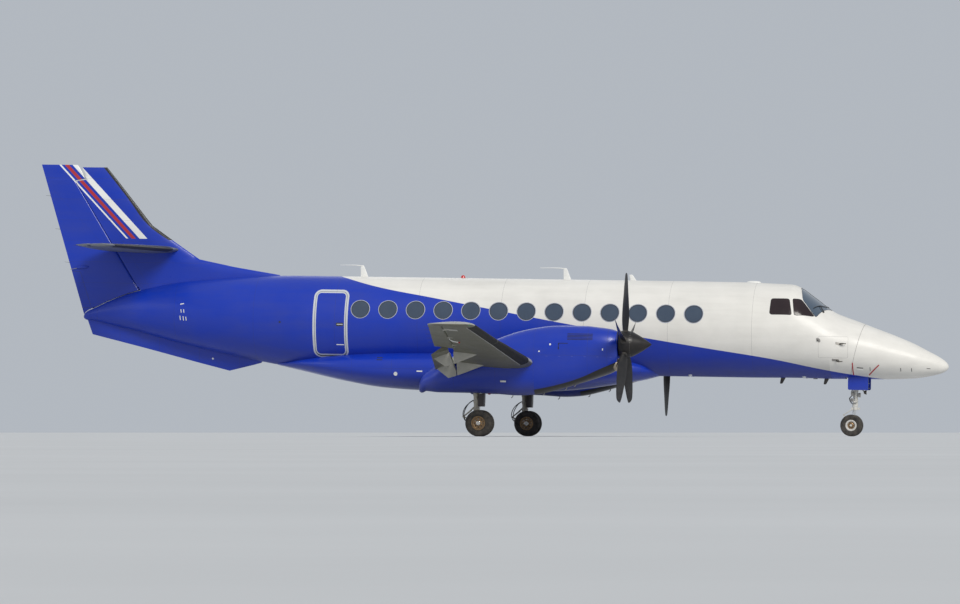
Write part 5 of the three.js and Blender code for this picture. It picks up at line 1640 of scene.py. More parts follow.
def tail_ring(y, le, hx, te_, half, n=24):
    te = hx + 0.045
    q = np.linspace(0, 1, n)
    u = q**2
    w = WTAIL(q) * half
    a = np.stack([le - (le - te) * u, np.full(n, y), TAIL_Z + w], 1)
    b = np.stack([le - (le - te) * u, np.full(n, y), TAIL_Z - w], 1)[::-1]
    return np.vstack([a, b])


def elevator_ring(y, le, hx, te, half):
    r = half * 0.78
    arc = [[hx - 0.04 + r * math.cos(a), y, TAIL_Z + r * math.sin(a)] for a in np.radians(np.linspace(90, -90, 15))]
    us = np.linspace(0, 0.9, 7)
    up = [[lerp(te, hx - 0.04, u), y, TAIL_Z + lerp(0.004, r, math.sin(u * math.pi / 2) ** 1.05)] for u in us]
    lo = [[x, y_, 2 * TAIL_Z - z] for x, y_, z in up[::-1]]
    return np.array(up + arc + lo)


tail_part = loft([tail_ring(*tail_row(y)) for y in tys])
ts = [tail_row(y) for y in (0.34, 0.9, 1.7, 2.5, 3.15, 3.3)]
# dark strips in the gaps between tailplane and elevators: painted shade
mirrored("tail_gap_shade", loft([[[r[2] + 0.046, r[0], TAIL_Z + 0.012], [r[2] + 0.036, r[0], TAIL_Z + 0.012], [r[2] + 0.036, r[0], TAIL_Z - 0.012], [r[2] + 0.046, r[0], TAIL_Z - 0.012]] for r in ts]), SEAL, "airframe", smooth=None)
elev = make("tmp_elev", *loft([elevator_ring(*tail_row(y)) for y in [0.11] + [y for y in tys if y > 0.3]]), TAILP)
room = [(-17.0, 0.1), (-17.56, 0.12), (-18.4, 0.42), (-18.4, -0.2), (-17.0, -0.2)]
cut(elev, make("cutter", *loft([[[x, y, z] for x, y in room] for z in (1.0, 2.0)]), TAILP))
elev_part = mesh_part(elev)
bpy.data.objects.remove(elev)
mirrored("tailplane_skin", tail_part, TAILP, "airframe", "tailplane", slot="grey_paint", smooth=40)
mirrored("elevator_skin", elev_part, TAILP, "elevator", "elevator", slot="grey_paint", smooth=40)


# main gear doors painted near-black: painted shade
GEAR_DOOR_SHADED = plain("leg_door_shaded_paint", (0.030, 0.024, 0.026), 0.4, scale=8, amount=0.6, other=(0.055, 0.04, 0.035), bump=0.001)
# ------------------------------------------------------------------ propellers and spinners
BLADE = np.array(
    [
        [0.2, 0.12, 0.08, 58],
        [0.33, 0.165, 0.056, 54],
        [0.52, 0.23, 0.036, 47],
        [0.8, 0.26, 0.025, 38],
        [1.1, 0.24, 0.017, 30],
        [1.4, 0.16, 0.009, 25],
        [1.45, 0.07, 0.006, 24],
    ]
)
BC, BT, BP = (Pchip(BLADE[:, 0], BLADE[:, k]) for k in (1, 2, 3))


def blade_part():
    rings = []
    rs = list(np.linspace(0.21, 1.38, 26)) + [1.40, 1.415, 1.428, 1.438, 1.445, 1.449, 1.45]
    for r in rs:
        c, t, p = float(BC(r)), float(BT(r)), math.radians(float(BP(r)))
        if r > 1.40:
            c = 0.155 * math.sqrt(max(1 - ((r - 1.40) / 0.0505) ** 2, 0.004)) + 0.004
        a = np.arange(28) / 28 * 2 * math.pi
        u, w = 0.5 * np.cos(a), 0.46 * np.sign(np.sin(a)) * np.abs(np.sin(a)) ** 1.25
        w = w * (1 - 0.35 * (u + 0.5) * (u > 0)) - 0.06 * np.cos(a * 2)
        al, ac = u * c, w * t
        rings.append(np.stack([al * math.sin(p) + ac * math.cos(p), al * math.cos(p) - ac * math.sin(p), np.full(28, r)], 1))
    return loft(rings)


def turn_x(part, deg):
    v, f = part
    v = np.array(v, float)
    c, s = math.cos(math.radians(deg)), math.sin(math.radians(deg))
    return np.stack([v[:, 0], v[:, 1] * c - v[:, 2] * s, v[:, 1] * s + v[:, 2] * c], 1), f


def shift(part, d):
    v, f = part
    return np.asarray(v, float) + np.asarray(d, float), f


HUB_AT = np.array([PROP_X, NAC_Y, PROP_Z])
hub_profile = [(0, -0.109), (0.235, -0.109), (0.262, -0.106), (0.2675, -0.098), (0.2675, 0.088), (0.2655, 0.0935), (0.255, 0.095), (0, 0.095)]
cuff = [(0, 0.19), (0.078, 0.19), (0.078, 0.262), (0.07, 0.268), (0.05, 0.285), (0, 0.285)]


def hub_turned(rows, n=72):
    return turned([(r, h) for r, h in rows], [0, 0, 0], [1, 0, 0], n)


SPINNER = Pchip([0, 0.055, 0.122, 0.25, 0.368, 0.428, 0.450], [0.266, 0.252, 0.218, 0.146, 0.066, 0.022, 0.0])
ss = list(np.linspace(0.004, 0.42, 26)) + [0.43, 0.438, 0.444, 0.448]
spin_rows = [(0.266, 0.0)] + [(float(SPINNER(s)), s) for s in ss] + [(0, 0.450)]
spin_rows = [(0, 0.0)] + spin_rows
# screws round the spinner's base
screws = []
for k in range(30):
    a = 2 * math.pi * (k + 0.5) / 30
    c = np.array([0.102 + 0.022, 0.2605 * math.cos(a), 0.2605 * math.sin(a)])
    d = np.array([0.15, math.cos(a), math.sin(a)])
    d /= np.linalg.norm(d)
    screws.append(turned([(0, -0.004), (0.0055, -0.004), (0.0055, 0.0006), (0.004, 0.0012), (0, 0.0012)], c, c + d, 12))
for tag, flip, start in (("left", lambda p: p, 36.0), ("right", flip_y, 0.0)):
    body = "propeller_" + tag
    one = blade_part()
    blades = join_parts([shift(turn_x(one, 72 * k + start), HUB_AT) for k in range(5)])
    make("propeller_blades_" + tag, *flip(blades), BLACK, body, stands="propeller_" + tag, slot="black_blade", smooth=50)
    cuffs = join_parts([shift(turn_x(turned(cuff, [0, 0, 0], [0, 0, 1], 40), 72 * k + start), HUB_AT) for k in range(5)])
    make("blade_cuffs_" + tag, *flip(cuffs), DARKM, body, slot="black_blade", smooth=40)
    hub = shift(hub_turned(hub_profile), HUB_AT)
    make("propeller_hub_" + tag, *flip(hub), SPIN, body, slot="black_blade", smooth=40)
    sp = shift(hub_turned(spin_rows, 96), HUB_AT + [0.0956, 0, 0])
    make("spinner_shell_" + tag, *flip(sp), SPIN, body, stands="spinner_" + tag, slot="black_blade", smooth=40)
    make("spinner_screws_" + tag, *flip(shift(join_parts(screws), HUB_AT)), STEEL, body, slot="gear_steel", smooth=40)

# ------------------------------------------------------------------ wheels
def tyre_profile(R, W, rim):
    half = [
        (rim, 0.375),
        (rim + 0.006, 0.415),
        (rim + 0.014, 0.44),
        (lerp(rim, R, 0.3), 0.478),
        (lerp(rim, R, 0.5), 0.498),
        (lerp(rim, R, 0.6), 0.5),
        (lerp(rim, R, 0.72), 0.487),
        (lerp(rim, R, 0.83), 0.455),
        (lerp(rim, R, 0.91), 0.415),
        (lerp(rim, R, 0.965), 0.36),
        (R - 0.0015, 0.30),
    ]
    side = [(r, w * W) for r, w in half]
    grooves = []
    for g in (0.235, 0.085):
        c = g * W
        grooves += [(R - 0.0004, c + 0.0042), (R - 0.0052, c + 0.003), (R - 0.0052, c - 0.003), (R - 0.0001, c - 0.0042)]
    right = side + grooves + [(R, 0.004)]
    return right + [(r, -h) for r, h in right[::-1]]


def rim_profile(rim, W, bore, main):
    if main:
        rows = [
            (bore, 0.34), (0.046, 0.34), (0.052, 0.30), (0.054, 0.22), (0.066, 0.185), (0.098, 0.185), (0.110, 0.22), (0.116, 0.33),
            (0.121, 0.375), (0.134, 0.392), (0.1415, 0.388), (rim - 0.0005, 0.36),
        ]
    else:
        rows = [
            (bore, 0.36), (0.036, 0.36), (0.041, 0.32), (0.043, 0.2), (0.056, 0.15), (0.072, 0.17), (0.078, 0.27),
            (0.083, 0.36), (0.096, 0.392), (0.110, 0.392), (0.1145, 0.385), (rim - 0.0005, 0.36),
        ]
    rows = [(r, h * W) for r, h in rows]
    return rows + [(r, -h) for r, h in rows[::-1]]


def rim_mesh(rim, W, bore, main):
    v, f = lathe_loop(rim_profile(rim, W, bore, main), [0, 0, 0], [0, 1, 0], 96)
    o = make("tmp_rim", v, f, BRONZE, packed=True)
    holes = []
    count, at, r = (8, 0.0825, 0.0145) if main else (6, 0.0635, 0.0075)
    for k in range(count):
        a = 2 * math.pi * k / count
        c = np.array([at * math.cos(a), -W, at * math.sin(a)])
        holes.append(turned([(0, 0), (r, 0), (r, 2 * W), (0, 2 * W)], c, c + [0, 1, 0], 24))
    # the walls of the holes take dark metal: painted shade in the holes
    cut(o, make("cutter", *join_parts(holes), DARKM, packed=True))
    v = np.array([q.co[:] for q in o.data.vertices])
    f = [list(p.vertices) for p in o.data.polygons]
    bpy.data.objects.remove(o)
    return v, f


MAIN_RIM_MESH, NOSE_RIM_MESH = rim_mesh(0.145, 0.166, 0.036, True), rim_mesh(0.118, 0.125, 0.028, False)


def bolts(at, count, r, y0, y1, phase=0.0):
    out = []
    for k in range(count):
        a = 2 * math.pi * (k + phase) / count
        c = np.array([at * math.cos(a), y0, at * math.sin(a)])
        out.append(turned([(0, 0), (r, 0), (r, abs(y1 - y0) * 0.8), (r * 0.7, abs(y1 - y0)), (0, abs(y1 - y0))], c, c + [0, 1 if y1 > y0 else -1, 0], 6))
    return out


WHEELS = [
    ("main", "left_outer", MAIN_X, NAC_Y + MAIN_TWIN, MAIN_Z, "main_wheels_left"),
    ("main", "left_inner", MAIN_X, NAC_Y - MAIN_TWIN, MAIN_Z, "main_wheels_left"),
    ("main", "right_outer", MAIN_X, -NAC_Y - MAIN_TWIN, MAIN_Z, "main_wheels_right"),
    ("main", "right_inner", MAIN_X, -NAC_Y + MAIN_TWIN, MAIN_Z, "main_wheels_right"),
    ("nose", "left", NOSE_X, NOSE_TWIN, NOSE_Z, "nose_wheels"),
    ("nose", "right", NOSE_X, -NOSE_TWIN, NOSE_Z, "nose_wheels"),
]
for leg, at, x, y, z, body in WHEELS:
    main = leg == "main"
    R, W, rim, bore = (0.27, 0.166, 0.145, 0.036) if main else (0.225, 0.125, 0.118, 0.028)
    c = np.array([x, y, z])
    make(f"{leg}_tyre_tread_{at}", *lathe_loop(tyre_profile(R, W, rim), c, [0, 1, 0], 128), TYRE, body, stands=f"{leg}_tyre_{at}", slot="tyre_rubber", smooth=30)
    v, f = MAIN_RIM_MESH if main else NOSE_RIM_MESH
    o = make(f"{leg}_rim_disc_{at}", v + c, f, BRONZE if main else PRIM, body, stands=f"{leg}_rim_{at}", slot="bronze_rim" if main else "pale_rim", smooth=30)
    if not main:
        paint_faces(o, BRONZE, lambda q, n_, c=c: np.hypot(q[:, 0] - c[0], q[:, 2] - c[2]) < 0.0735)
    else:
        # hole walls of the main rims in dark metal: painted shade
        paint_faces(o, DARKM, lambda q, n_, c=c: (np.abs(np.hypot(q[:, 0] - c[0], q[:, 2] - c[2]) - 0.0825) < 0.0165) & (np.abs(n_[:, 1]) < 0.3) & (np.abs(q[:, 1] - c[1]) < 0.04))
    w = 0.34 * W if main else 0.36 * W
    caps = []
    for s in (1, -1):
        if main:
            caps.append(turned([(0.0365, 0), (0.043, 0.0), (0.043, 0.006), (0.039, 0.009), (0.0365, 0.009)], c + [0, s * (w + 0.0003), 0], c + [0, s * 2, 0], 40))
        caps += [shift(b, c) for b in bolts(0.103 if main else 0.0, 12 if main else 0, 0.0045, s * 0.2 * W, s * (0.2 * W + 0.008), 0.25)]
        if not main:
            caps += [shift(b, c) for b in bolts(0.0635, 6, 0.004, s * 0.155 * W, s * (0.155 * W + 0.008), 0.5)]
    make(f"{leg}_wheel_bolts_{at}", *join_parts(caps), CHROME, body, slot="gear_steel", smooth=40)

# ------------------------------------------------------------------ main gear
LEGX, LEGTOP, LEGLOW, LEAN = MAIN_X - 0.095, -1.262, -1.86, -0.05


def leg_at(z, dx=0.0, dy=0.0):
    return np.array([LEGX + (z - LEGTOP) * LEAN + dx, NAC_Y + dy, z])


def flat_link(a, b, w0, w1, t, hole=0.0):
    """tapered link with round ends, width across y"""
    a, b = np.asarray(a, float), np.asarray(b, float)
    d = b - a
    L = np.linalg.norm(d)
    d /= L
    nrm = np.cross(d, [0, 1.0, 0])
    pts = []
    for ang in np.radians(np.linspace(90, 270, 9)):
        pts.append(a + d * w0 * 0.5 * math.cos(ang) + np.array([0, 1, 0]) * w0 * math.sin(ang))
    for ang in np.radians(np.linspace(-90, 90, 9)):
        pts.append(b + d * w1 * 0.5 * math.cos(ang) + np.array([0, 1, 0]) * w1 * math.sin(ang))
    p = np.array(pts)
    return loft([p - nrm * t, p + nrm * t])


axis_len = float(np.linalg.norm(leg_at(LEGLOW) - leg_at(LEGTOP)))
cyl = turned(
    [(0, 0), (0.052, 0), (0.056, 0.006), (0.056, 0.17), (0.063, 0.175), (0.063, 0.20), (0.056, 0.205), (0.056, 0.30), (0.0645, 0.306), (0.0645, 0.345), (0.056, 0.352),
     (0.056, 0.46), (0.066, 0.468), (0.066, 0.52), (0.0575, 0.526), (0.0575, 0.565), (0.065, 0.57), (0.065, axis_len - 0.006), (0.06, axis_len), (0, axis_len)],
    leg_at(LEGTOP), leg_at(LEGLOW), 48)
trun = turned([(0, 0), (0.03, 0), (0.034, 0.004), (0.034, 0.168), (0.03, 0.172), (0, 0.172)], leg_at(-1.33, 0, -0.086), leg_at(-1.33, 0, 0.086), 32)
lugs = [
    flat_link(leg_at(-1.70, -0.045), leg_at(-1.775, -0.128), 0.034, 0.03, 0.012),
    box_part(*(leg_at(-1.48)[0] + np.array([0.04, 0.115])), NAC_Y - 0.016, NAC_Y + 0.016, -1.492, -1.468),
    box_part(*(leg_at(-1.48)[0] + np.array([0.10, 0.128])), NAC_Y - 0.028, NAC_Y + 0.028, -1.498, -1.455),
    turned([(0, 0), (0.014, 0), (0.014, 0.1), (0, 0.1)], leg_at(-1.775, -0.124, -0.05), leg_at(-1.775, -0.124, 0.05), 20),
    turned([(0, 0), (0.017, 0), (0.017, 0.09), (0.012, 0.1), (0.012, 0.14), (0, 0.14)], leg_at(-1.52, 0.03, 0.066), leg_at(-1.66, 0.03, 0.066), 20),
]
elbow = np.array([MAIN_X - 0.345, NAC_Y, -1.9])
links = [
    flat_link(leg_at(-1.775, -0.124), elbow + [0.008, 0, 0.006], 0.046, 0.028, 0.011),
    flat_link(elbow, leg_at(MAIN_Z + 0.004, -0.02), 0.026, 0.04, 0.011),
    turned([(0, 0), (0.016, 0), (0.016, 0.08), (0, 0.08)], elbow + [0, -0.04, 0], elbow + [0, 0.04, 0], 20),
]
piston = turned([(0, 0), (0.042, 0), (0.042, 0.12), (0.046, 0.128), (0.05, 0.14), (0.05, 0.185), (0.03, 0.2), (0, 0.2)], leg_at(LEGLOW - 0.0006), leg_at(MAIN_Z), 40)
fork = turned([(0, 0), (0.036, 0), (0.05, 0.012), (0.052, 0.05), (0.052, 0.1), (0.044, 0.125), (0, 0.125)], leg_at(MAIN_Z + 0.004, -0.035), np.array([MAIN_X + 0.3, NAC_Y, MAIN_Z]), 36)
axle = turned([(0, 0), (0.018, 0), (0.0295, 0.004), (0.03, 0.012), (0.03, 0.4685), (0.0295, 0.476), (0.018, 0.48), (0, 0.48)], np.array([MAIN_X, NAC_Y - 0.24, MAIN_Z]), np.array([MAIN_X, NAC_Y + 0.24, MAIN_Z]), 40)
nuts = []
for s in (1, -1):
    c = np.array([MAIN_X, NAC_Y + s * 0.2225, MAIN_Z])
    nuts.append(turned([(0.0302, 0), (0.0345, 0), (0.0345, 0.008), (0.0302, 0.008)], c, c + [0, s, 0], 6))
hoses = []
for dy, da in ((0.026, 0.0), (-0.026, 0.03)):
    path = smooth_path([leg_at(-1.56, -0.052, dy), leg_at(-1.60, -0.12, dy), leg_at(-1.72, -0.215 - da, dy), leg_at(-1.86, -0.262 - da, dy), leg_at(-1.985, -0.225 - da / 2, dy), leg_at(MAIN_Z + 0.012, -0.12, dy), leg_at(MAIN_Z + 0.022, -0.055, dy)], 40)
    hoses.append(tube(path, 0.0085, 12))
pipes = [tube(smooth_path([leg_at(-1.30, 0.02, dy), leg_at(-1.38, 0.064, dy * 1.2), leg_at(-1.5, 0.066, dy * 1.2), leg_at(-1.7, 0.068, dy), leg_at(-1.84, 0.06, dy)], 26), 0.006, 10) for dy in (0.024, -0.024)]
clips = []
for z_ in (-1.40, -1.56, -1.72):
    clips.append(turned([(0.0575, 0), (0.0735, 0), (0.0735, 0.014), (0.0575, 0.014)], leg_at(z_), leg_at(z_ - 0.1), 36))


def u_door(z0, z1, out, n=25):
    a = np.linspace(-math.pi / 2, math.pi / 2, n)
    e = 0.62
    x = MAIN_X - 0.02 + (0.12 - (0.0 if out else 0.014)) * np.abs(np.cos(a)) ** e
    y = NAC_Y + (0.15 - (0.0 if out else 0.014)) * np.sign(np.sin(a)) * np.abs(np.sin(a)) ** e
    return x, y


def gear_door():
    rings = []
    for z, k in ((-1.42, 1.0), (-1.5, 1.0), (-1.6, 0.985), (-1.66, 0.965), (-1.682, 0.95), (-1.69, 0.93)):
        xo, yo = u_door(0, 0, True)
        xi, yi = u_door(0, 0, False)
        x = np.concatenate([xo, xi[::-1]])
        y = np.concatenate([yo, yi[::-1]])
        x = MAIN_X - 0.02 + (x - MAIN_X + 0.02) * k
        y = NAC_Y + (y - NAC_Y) * k
        rings.append(np.stack([x, y, np.full(len(x), z)], 1))
    return loft(rings)


mirrored("main_gear_cylinder", join_parts([cyl, trun]), TAN, "airframe", "main_gear_leg", slot="gear_steel", smooth=40)
mirrored("main_gear_lugs", join_parts(lugs), TAN, "airframe", slot="gear_steel", smooth=40)
mirrored("main_gear_clips", join_parts(clips), STEEL, "airframe", slot="gear_steel", smooth=40)
mirrored("main_gear_pipes", join_parts(pipes), CHROME, "airframe", slot="gear_steel", smooth=50)
mirrored("main_gear_piston", join_parts([piston]), CHROME, "airframe", "main_gear_axle", slot="gear_steel", smooth=40)
mirrored("main_gear_fork", join_parts([fork, axle] + nuts), PALE, "airframe", slot="gear_steel", smooth=40)
mirrored("main_gear_links", join_parts(links), TAN, "airframe", slot="gear_steel", smooth=40)
mirrored("main_gear_hoses", join_parts(hoses), HOSE, "airframe", smooth=50)
mirrored("main_gear_door_shell", gear_door(), GEAR_DOOR_SHADED, "airframe", "main_gear_door", slot="blue_paint", smooth=40)

# ------------------------------------------------------------------ nose gear
NLX, NTOP, NLOW = -1.9, -0.65, -1.56


def nleg(z, dx=0.0, dy=0.0):
    return np.array([NLX - 0.028 * (NTOP - z) / (NTOP - NLOW) + dx, dy, z])


nlen = float(np.linalg.norm(nleg(NLOW) - nleg(NTOP)))
ncyl = turned(
    [(0, 0), (0.044, 0), (0.048, 0.004), (0.048, 0.36), (0.054, 0.366), (0.054, 0.40), (0.048, 0.406), (0.048, 0.55), (0.055, 0.556), (0.055, 0.60), (0.049, 0.606), (0.049, 0.74),
     (0.0565, 0.75), (0.0565, 0.80), (0.052, 0.806), (0.052, 0.84), (0.0575, 0.846), (0.0575, nlen - 0.005), (0.052, nlen), (0, nlen)],
    nleg(NTOP), nleg(NLOW), 44)
ncross = turned([(0, 0), (0.026, 0), (0.026, 0.41), (0, 0.41)], [NLX, -0.205, -0.76], [NLX, 0.205, -0.76], 24)
brace = turned([(0, 0), (0.02, 0), (0.02, 0.16), (0.025, 0.165), (0.025, 0.2), (0.017, 0.205), (0.017, 0.5), (0, 0.5)], nleg(-1.15, 0.012), [NLX + 0.25, 0, -0.70], 24)
make("nose_gear_cylinder", *join_parts([ncyl, ncross, brace]), PALE, "airframe", stands="nose_gear_leg", slot="gear_steel", smooth=40)
act, valves = [], []
for s in (1, -1):
    act.append(turned([(0, 0), (0.02, 0), (0.023, 0.005), (0.023, 0.17), (0.018, 0.176), (0.012, 0.18), (0.012, 0.235), (0, 0.235)], nleg(-1.20, 0.012, s * 0.077), nleg(-1.435, 0.012, s * 0.077), 28))
    act.append(box_part(NLX - 0.05, NLX + 0.02, s * 0.045, s * 0.105, -1.468, -1.436))
    act.append(box_part(NLX - 0.045, NLX + 0.02, s * 0.04, s * 0.10, -1.205, -1.18))
    valves.append(box_part(NLX - 0.115, NLX - 0.05, s * 0.012, s * 0.05, -1.34, -1.24))
valves.append(box_part(NLX - 0.12, NLX - 0.055, -0.03, 0.03, -1.45, -1.385))
valves.append(box_part(NLX + 0.035, NLX + 0.085, -0.035, 0.035, -1.36, -1.27))
make("nose_gear_actuators", *join_parts(act), PALE, "airframe", slot="gear_steel", smooth=40)
o = make("nose_gear_valves", *join_parts(valves), STEEL, "airframe", slot="gear_steel", smooth=None)
bevel(o, 0.006, 2, 60)
rods = [tube([[NLX + dx, s * 0.045, -1.06], [NLX + dx, s * 0.243, -1.10]], 0.008, 12) for s in (1, -1) for dx in (0.02, -0.06)]
rods += [turned([(0, 0), (0.014, 0), (0.014, 0.02), (0, 0.02)], [NLX + dx, s * 0.224, -1.097], [NLX + dx, s * 0.9, -1.2], 14) for s in (1, -1) for dx in (0.02, -0.06)]
make("nose_door_rods", *join_parts(rods), STEEL, "airframe", slot="gear_steel", smooth=40)
nh = []
for s in (1, -1):
    nh.append(tube(smooth_path([nleg(-0.72, -0.055, s * 0.03), nleg(-0.95, -0.085, s * 0.045), nleg(-1.18, -0.07, s * 0.04), nleg(-1.26, -0.085, s * 0.034)], 26), 0.0075, 10))
    nh.append(tube(smooth_path([nleg(-0.8, 0.06, s * 0.04), nleg(-1.0, 0.075, s * 0.06), nleg(-1.16, 0.05, s * 0.085), nleg(-1.2, 0.02, s * 0.09)], 24), 0.006, 10))
    nh.append(tube(smooth_path([nleg(-1.34, -0.085, s * 0.03), nleg(-1.38, -0.12, s * 0.05), nleg(-1.45, -0.10, s * 0.06), nleg(-1.50, -0.06, s * 0.035)], 24), 0.006, 10))
make("nose_gear_hoses", *join_parts(nh), HOSE, "airframe", smooth=50)
lamp_c = np.array([NLX + 0.21, 0.0, -1.255])
lamp = [
    turned([(0, 0), (0.02, 0), (0.036, 0.018), (0.042, 0.04), (0.044, 0.06), (0.041, 0.062), (0, 0.062)], lamp_c - [0.062, 0, 0], lamp_c + [1, 0, -0.05], 40),
    tube(smooth_path([nleg(-1.12, 0.04), nleg(-1.15, 0.1), nleg(-1.22, 0.15), lamp_c - [0.05, 0, -0.005]], 16), 0.009, 12),
]
make("taxi_lamp_housing", *join_parts(lamp), DARKM, "airframe", slot="gear_steel", smooth=40)
make("taxi_lamp_lens", *turned([(0, 0), (0.038, 0), (0.036, 0.004), (0.022, 0.009), (0, 0.011)], lamp_c + [0.0005, 0, 0], lamp_c + [1, 0, -0.05], 40), LENS, "airframe", smooth=50)

nelbow = np.array([NOSE_X - 0.175, 0, -1.73])
nfork_len = float(np.linalg.norm(np.array([NOSE_X + 0.006, 0, NOSE_Z]) - nleg(NLOW - 0.01, 0)))
mov = [
    turned([(0, 0), (0.05, 0), (0.054, 0.004), (0.054, 0.056), (0.05, 0.06), (0, 0.06)], nleg(NLOW - 0.006), nleg(NLOW - 0.066), 40),
    flat_link([NLX - 0.075, 0, NLOW - 0.042], nelbow + [0.006, 0, 0.005], 0.038, 0.019, 0.009),
    flat_link(nelbow, [NOSE_X - 0.045, 0, NOSE_Z + 0.01], 0.018, 0.026, 0.009),
    turned([(0, 0), (0.011, 0), (0.011, 0.06), (0, 0.06)], nelbow + [0, -0.03, 0], nelbow + [0, 0.03, 0], 18),
    turned([(0, 0), (0.044, 0), (0.05, 0.006), (0.05, 0.058), (0.044, 0.064), (0, 0.064)], [NOSE_X, -0.032, NOSE_Z], [NOSE_X, 0.032, NOSE_Z], 40),
    turned([(0, 0), (0.014, 0), (0.0218, 0.004), (0.0218, 0.352), (0.014, 0.356), (0, 0.356)], [NOSE_X, -0.178, NOSE_Z], [NOSE_X, 0.178, NOSE_Z], 32),
    box_part(NLX - 0.105, NLX - 0.04, -0.035, 0.035, NLOW - 0.062, NLOW - 0.01),
    box_part(NLX + 0.02, NLX + 0.075, -0.025, 0.025, NLOW - 0.055, NLOW - 0.015),
]
for s in (1, -1):
    c = np.array([NOSE_X, s * 0.166, NOSE_Z])
    mov.append(turned([(0.0222, 0), (0.0262, 0), (0.0262, 0.008), (0.0222, 0.008)], c, c + [0, s, 0], 6))
make("nose_gear_fork", *join_parts(mov), PALE, "nose_steering", stands="nose_gear_axle", slot="gear_steel", smooth=40)
make("nose_gear_piston", *turned([(0, 0), (0.034, 0), (0.034, 0.16), (0.04, 0.175), (0.044, 0.2), (0.044, nfork_len - 0.03), (0, nfork_len - 0.02)], nleg(NLOW - 0.012), [NOSE_X + 0.006, 0, NOSE_Z], 40), CHROME, "nose_steering", slot="gear_steel", smooth=40)


def door_plate(x0, x1, z0, z1, y_of, t, r=0.04):
    g = rounded_grid(x0, x1, z0, z1, r, nx=8, nz=14, arc=6)
    n_, m_ = g.shape[:2]
    x, z = g[..., 0], g[..., 1]
    y = y_of(x, z)
    return plate_faces(np.stack([x, y + t / 2, z], -1).reshape(-1, 3), np.stack([x, y - t / 2, z], -1).reshape(-1, 3), n_, m_)


ndoor = door_plate(-2.056, -1.634, -1.21, -0.928, lambda x, z: 0.251 + 0.006 * np.sin((z + 1.21) / 0.285 * math.pi), 0.010, 0.03)
ribs = [box_part(x - 0.006, x + 0.006, 0.226, 0.2455, -1.18, -0.96) for x in (-2.0, -1.845, -1.69)] + [box_part(-2.03, -1.66, 0.234, 0.2465, z - 0.006, z + 0.006) for z in (-1.17, -1.07)]
ribs += [box_part(x - 0.014, x + 0.014, 0.214, 0.2455, -0.975, -0.935) for x in (-1.98, -1.71)]
mirrored("nose_gear_door_skin", ndoor, BLUEP, "airframe", "nose_gear_door", slot="blue_paint", smooth=40)
mirrored("nose_gear_door_ribs", join_parts(ribs), WELL, "airframe", slot="blue_paint", smooth=None)

# ------------------------------------------------------------------ things on the fuselage
def blade_aerial(x_base, chord, h, sweep, y=0.0, z0=0.0, up=1, t=0.018, tip=0.55):
    rings = []
    for k in np.linspace(0, 1, 8):
        c = lerp(chord, chord * tip, k)
        xc = x_base - sweep * k
        a = np.arange(24) / 24 * 2 * math.pi
        rr = 1.0 if k < 0.95 else 0.75
        rings.append(np.stack([xc + c / 2 * np.cos(a) * rr, y + t / 2 * np.sin(a) * lerp(1, 0.6, k) * rr, np.full(24, z0 + up * h * k)], 1))
    return loft(rings)


roof = []
for xb, xt in ((-12.35, -12.82), (-8.05, -8.57)):
    roof.append(blade_aerial(xb + 0.06, 0.17, 0.262, 0.055, z0=0.965, tip=0.42, t=0.02))
    roof.append(tube(smooth_path([[xb - 0.0, 0, 1.214], [xb - 0.08, 0, 1.222], [xt, 0, 1.224]], 14), list(np.linspace(0.011, 0.005, 14)), 12))
hump = [turned([(0, 0), (0.12, 0), (0.118, 0.012), (0.10, 0.026), (0.06, 0.036), (0, 0.04)], [-4.08, 0, 0.978], [-4.08, 0, 2], 48)]
v_, f_ = hump[0]
v_ = np.array(v_)
v_[:, 0] = -4.08 + (v_[:, 0] + 4.08) * 1.25
v_[:, 1] *= 0.55
roof.append((v_, f_))
roof.append(blade_aerial(-6.6, 0.13, 0.13, 0.06, z0=0.98, t=0.016))
make("roof_aerials", *join_parts(roof), AERIAL, "airframe", smooth=40)
bel = [blade_aerial(xb, 0.10, 0.13, 0.045, z0=-0.975, up=-1, t=0.016) for xb in (-3.43, -2.52)]
bel.append(blade_aerial(-14.75, 0.09, 0.10, 0.05, y=0.0, z0=-0.93, up=-1, t=0.012))
make("belly_aerials", *join_parts(bel[:2]), DARKM, "airframe", smooth=40)


def skin_frame(x, z, side):
    p = on_skin(np.array([x, z]), side)
    n_ = skin_normal(p)
    t = np.array([1.0, 0, 0]) - n_ * n_[0]
    t /= np.linalg.norm(t)
    return p, t, np.cross(n_, t), n_


def skin_plate(x, z, side, w, h, up, turn=0.0, r=None, sink=0.004, n=6):
    """rounded plate lying on the skin: width along x, height up the side; turn in degrees"""
    r = min(w, h) * 0.3 if r is None else r
    out = []
    for k, (cx, cz) in enumerate(((w / 2 - r, h / 2 - r), (-w / 2 + r, h / 2 - r), (-w / 2 + r, -h / 2 + r), (w / 2 - r, -h / 2 + r))):
        for i in range(n):
            a = (k + i / (n - 1)) * math.pi / 2
            out.append((cx + r * math.cos(a), cz + r * math.sin(a)))
    c, s = math.cos(math.radians(turn)), math.sin(math.radians(turn))
    pts = [(a * c - b * s, a * s + b * c) for a, b in out]
    zc, hz, hy = body_section(x)
    t0 = math.asin(max(-1, min(1, float((z - zc) / hz))))
    R = float((hz + hy) / 2)
    rings = []
    for off in (-sink, up):
        rings.append([surface_point(np.array(x + a), np.array(t0 + b / R), side, off) for a, b in pts])
    return loft(rings)


